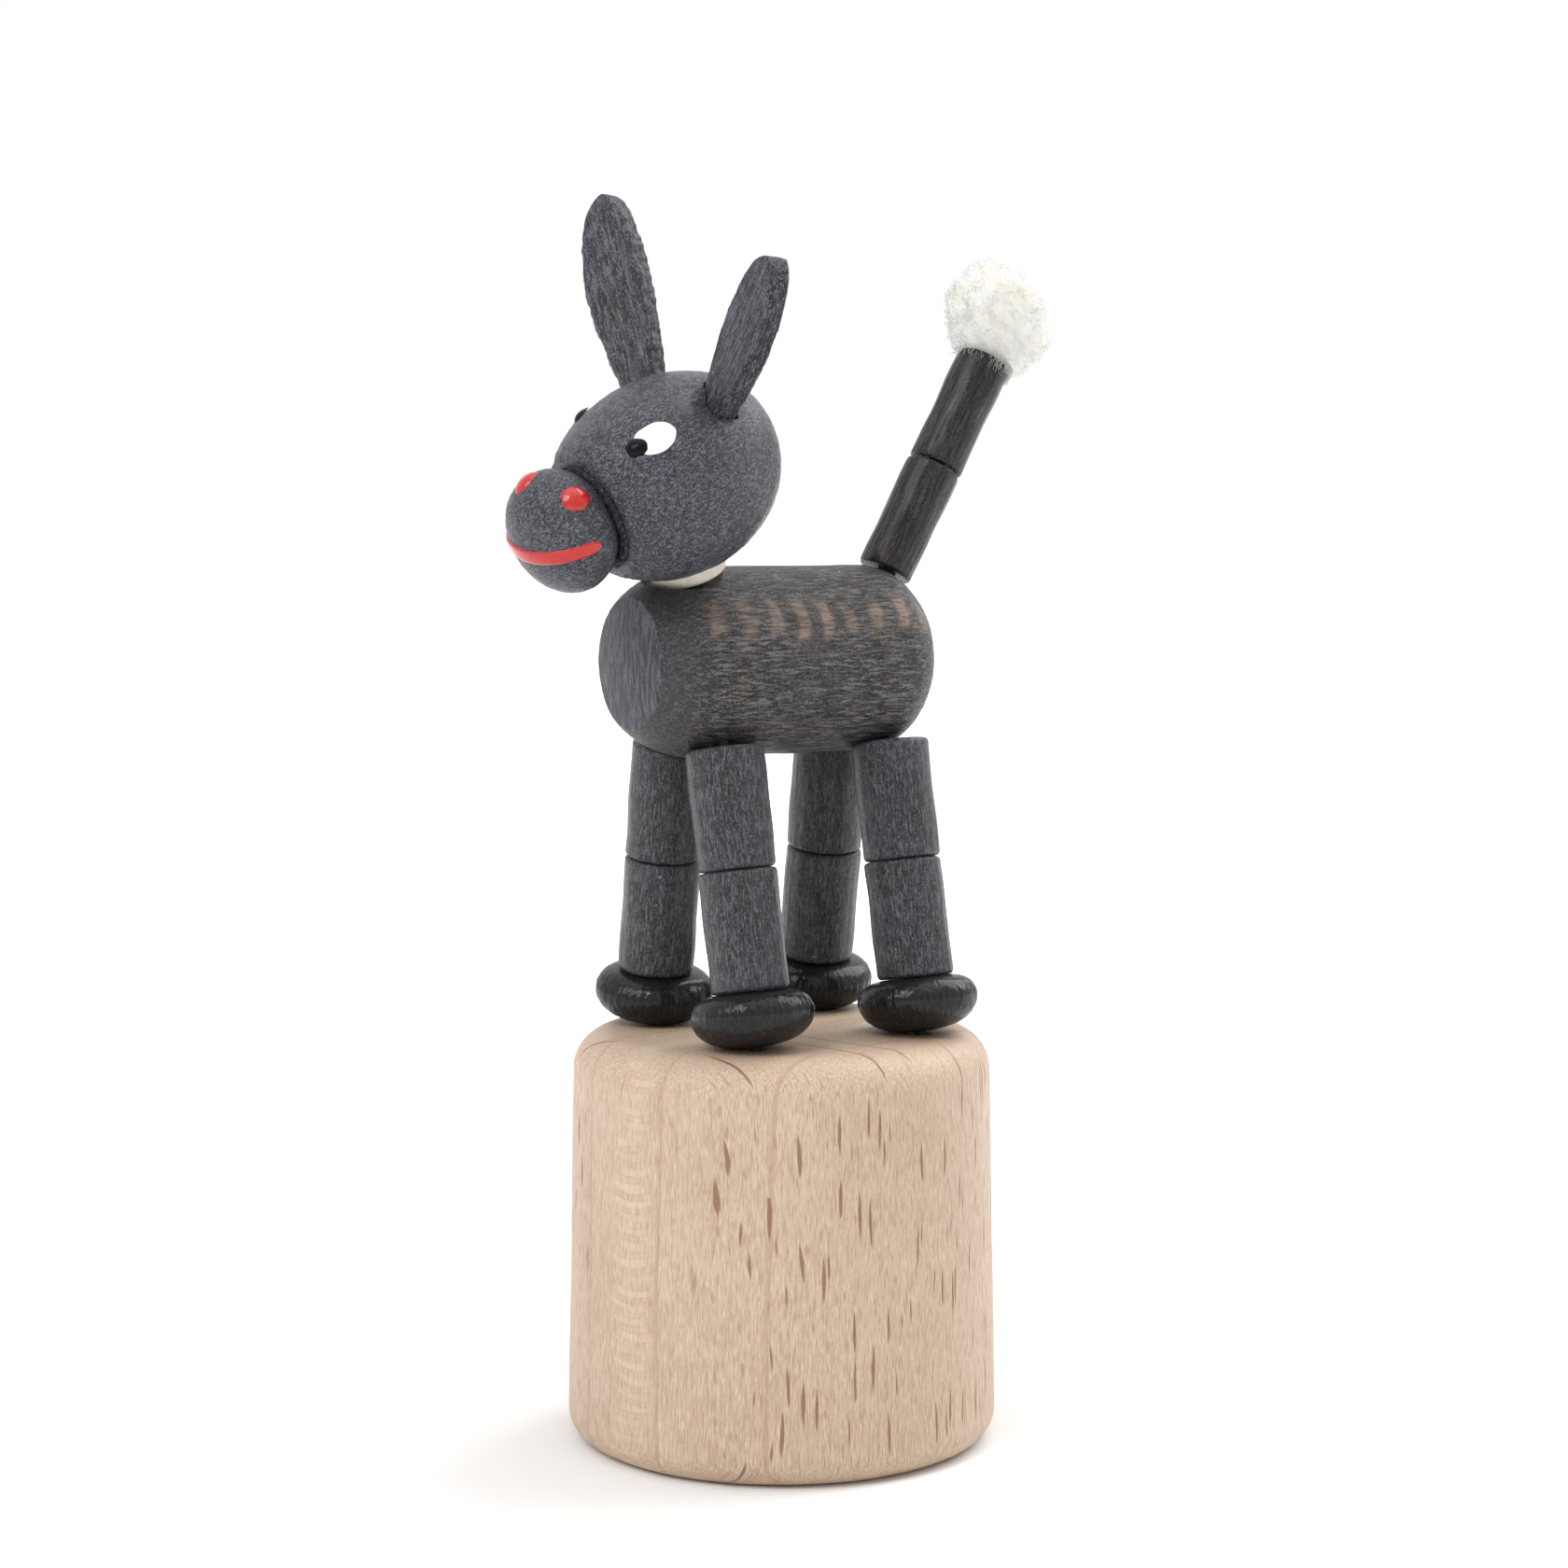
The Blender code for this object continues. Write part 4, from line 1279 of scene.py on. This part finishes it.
# Soft boxes: degrees to the camera's right of the object, degrees up, metres away, metres wide, watts
LAMPS = {"key": (-48, 42, 1.0, 0.5, 3.4),
         "spark": (-28, 52, 1.0, 0.12, 1.0),
         "rim": (125, 44, 1.0, 0.8, 7.6),
         "top": (0, 85, 1.1, 0.9, 2.4)}
LAMP_AIM = Vector((0, 0, 0.05))


def make_stage():
    shape = bmesh.new()
    bmesh.ops.create_grid(shape, x_segments=1, y_segments=1, size=FLOOR_HALF)
    pale = Finish("pale_floor", Specular_IOR_Level=0.0, Roughness=1.0, Emission_Strength=1.0)
    pale.shader.inputs["Base Color"].default_value = (0.9, 0.9, 0.9, 1.0)
    floor = add("floor", plain("floor", shape), pale.material)
    x, y, _ = pale.split(pale.place())
    away = (x * x + y * y) ** 0.5
    glow = pale.smooth(away, GLOW_START, GLOW_TURN, 0.0, NEAR_GLOW)
    glow = glow + pale.smooth(away, GLOW_TURN, GLOW_END, 0.0, FAR_GLOW)
    shown = pale.mix(pale.seen() * glow, NO_LIGHT, WHITE_LIGHT)
    pale.feed(pale.shader.inputs["Emission Color"], shown)

    sky = Sky("studio")
    bpy.context.scene.world = sky.world
    sky.feed(sky.shader.inputs["Color"], sky.mix(sky.seen(), (AMBIENT, AMBIENT, AMBIENT), WHITE_LIGHT))


def make_lamp(name, turn, rise, away, size, power):
    data = bpy.data.lights.new(name, "AREA")
    data.shape = "SQUARE"
    data.size = size
    data.energy = power
    lamp = link(name, data)
    angle = CAMERA_TURN - math.pi / 2 + math.radians(turn)
    level = math.cos(math.radians(rise))
    toward = Vector((math.cos(angle) * level, math.sin(angle) * level, math.sin(math.radians(rise))))
    lamp.location = LAMP_AIM + toward * away
    lamp.rotation_euler = toward.to_track_quat("Z", "Y").to_euler()


def make_camera():
    data = bpy.data.cameras.new("camera")
    data.sensor_width = SENSOR
    data.lens = SENSOR * FOCAL_PIXELS / PICTURE
    data.clip_start = 0.01
    data.clip_end = 100
    camera = link("camera", data)
    sine, cosine = math.sin(CAMERA_TURN), math.cos(CAMERA_TURN)
    back = sine * CAMERA_AWAY - cosine * CAMERA_ASIDE
    camera.location = (back, -cosine * CAMERA_AWAY - sine * CAMERA_ASIDE, CAMERA_HIGH)
    camera.rotation_euler = (math.pi / 2 - CAMERA_DOWN, 0, CAMERA_TURN)
    bpy.context.scene.camera = camera


make_camera()
make_stage()
for lamp_name, setting in LAMPS.items():
    make_lamp(lamp_name, *setting)
make_drum()
make_button()
make_legs()
make_torso()
make_head()
make_seam()
make_ring()
make_ears()
make_face()
make_pompom()
make_spring()
make_cords()

bpy.context.scene.view_settings.view_transform = "Standard"
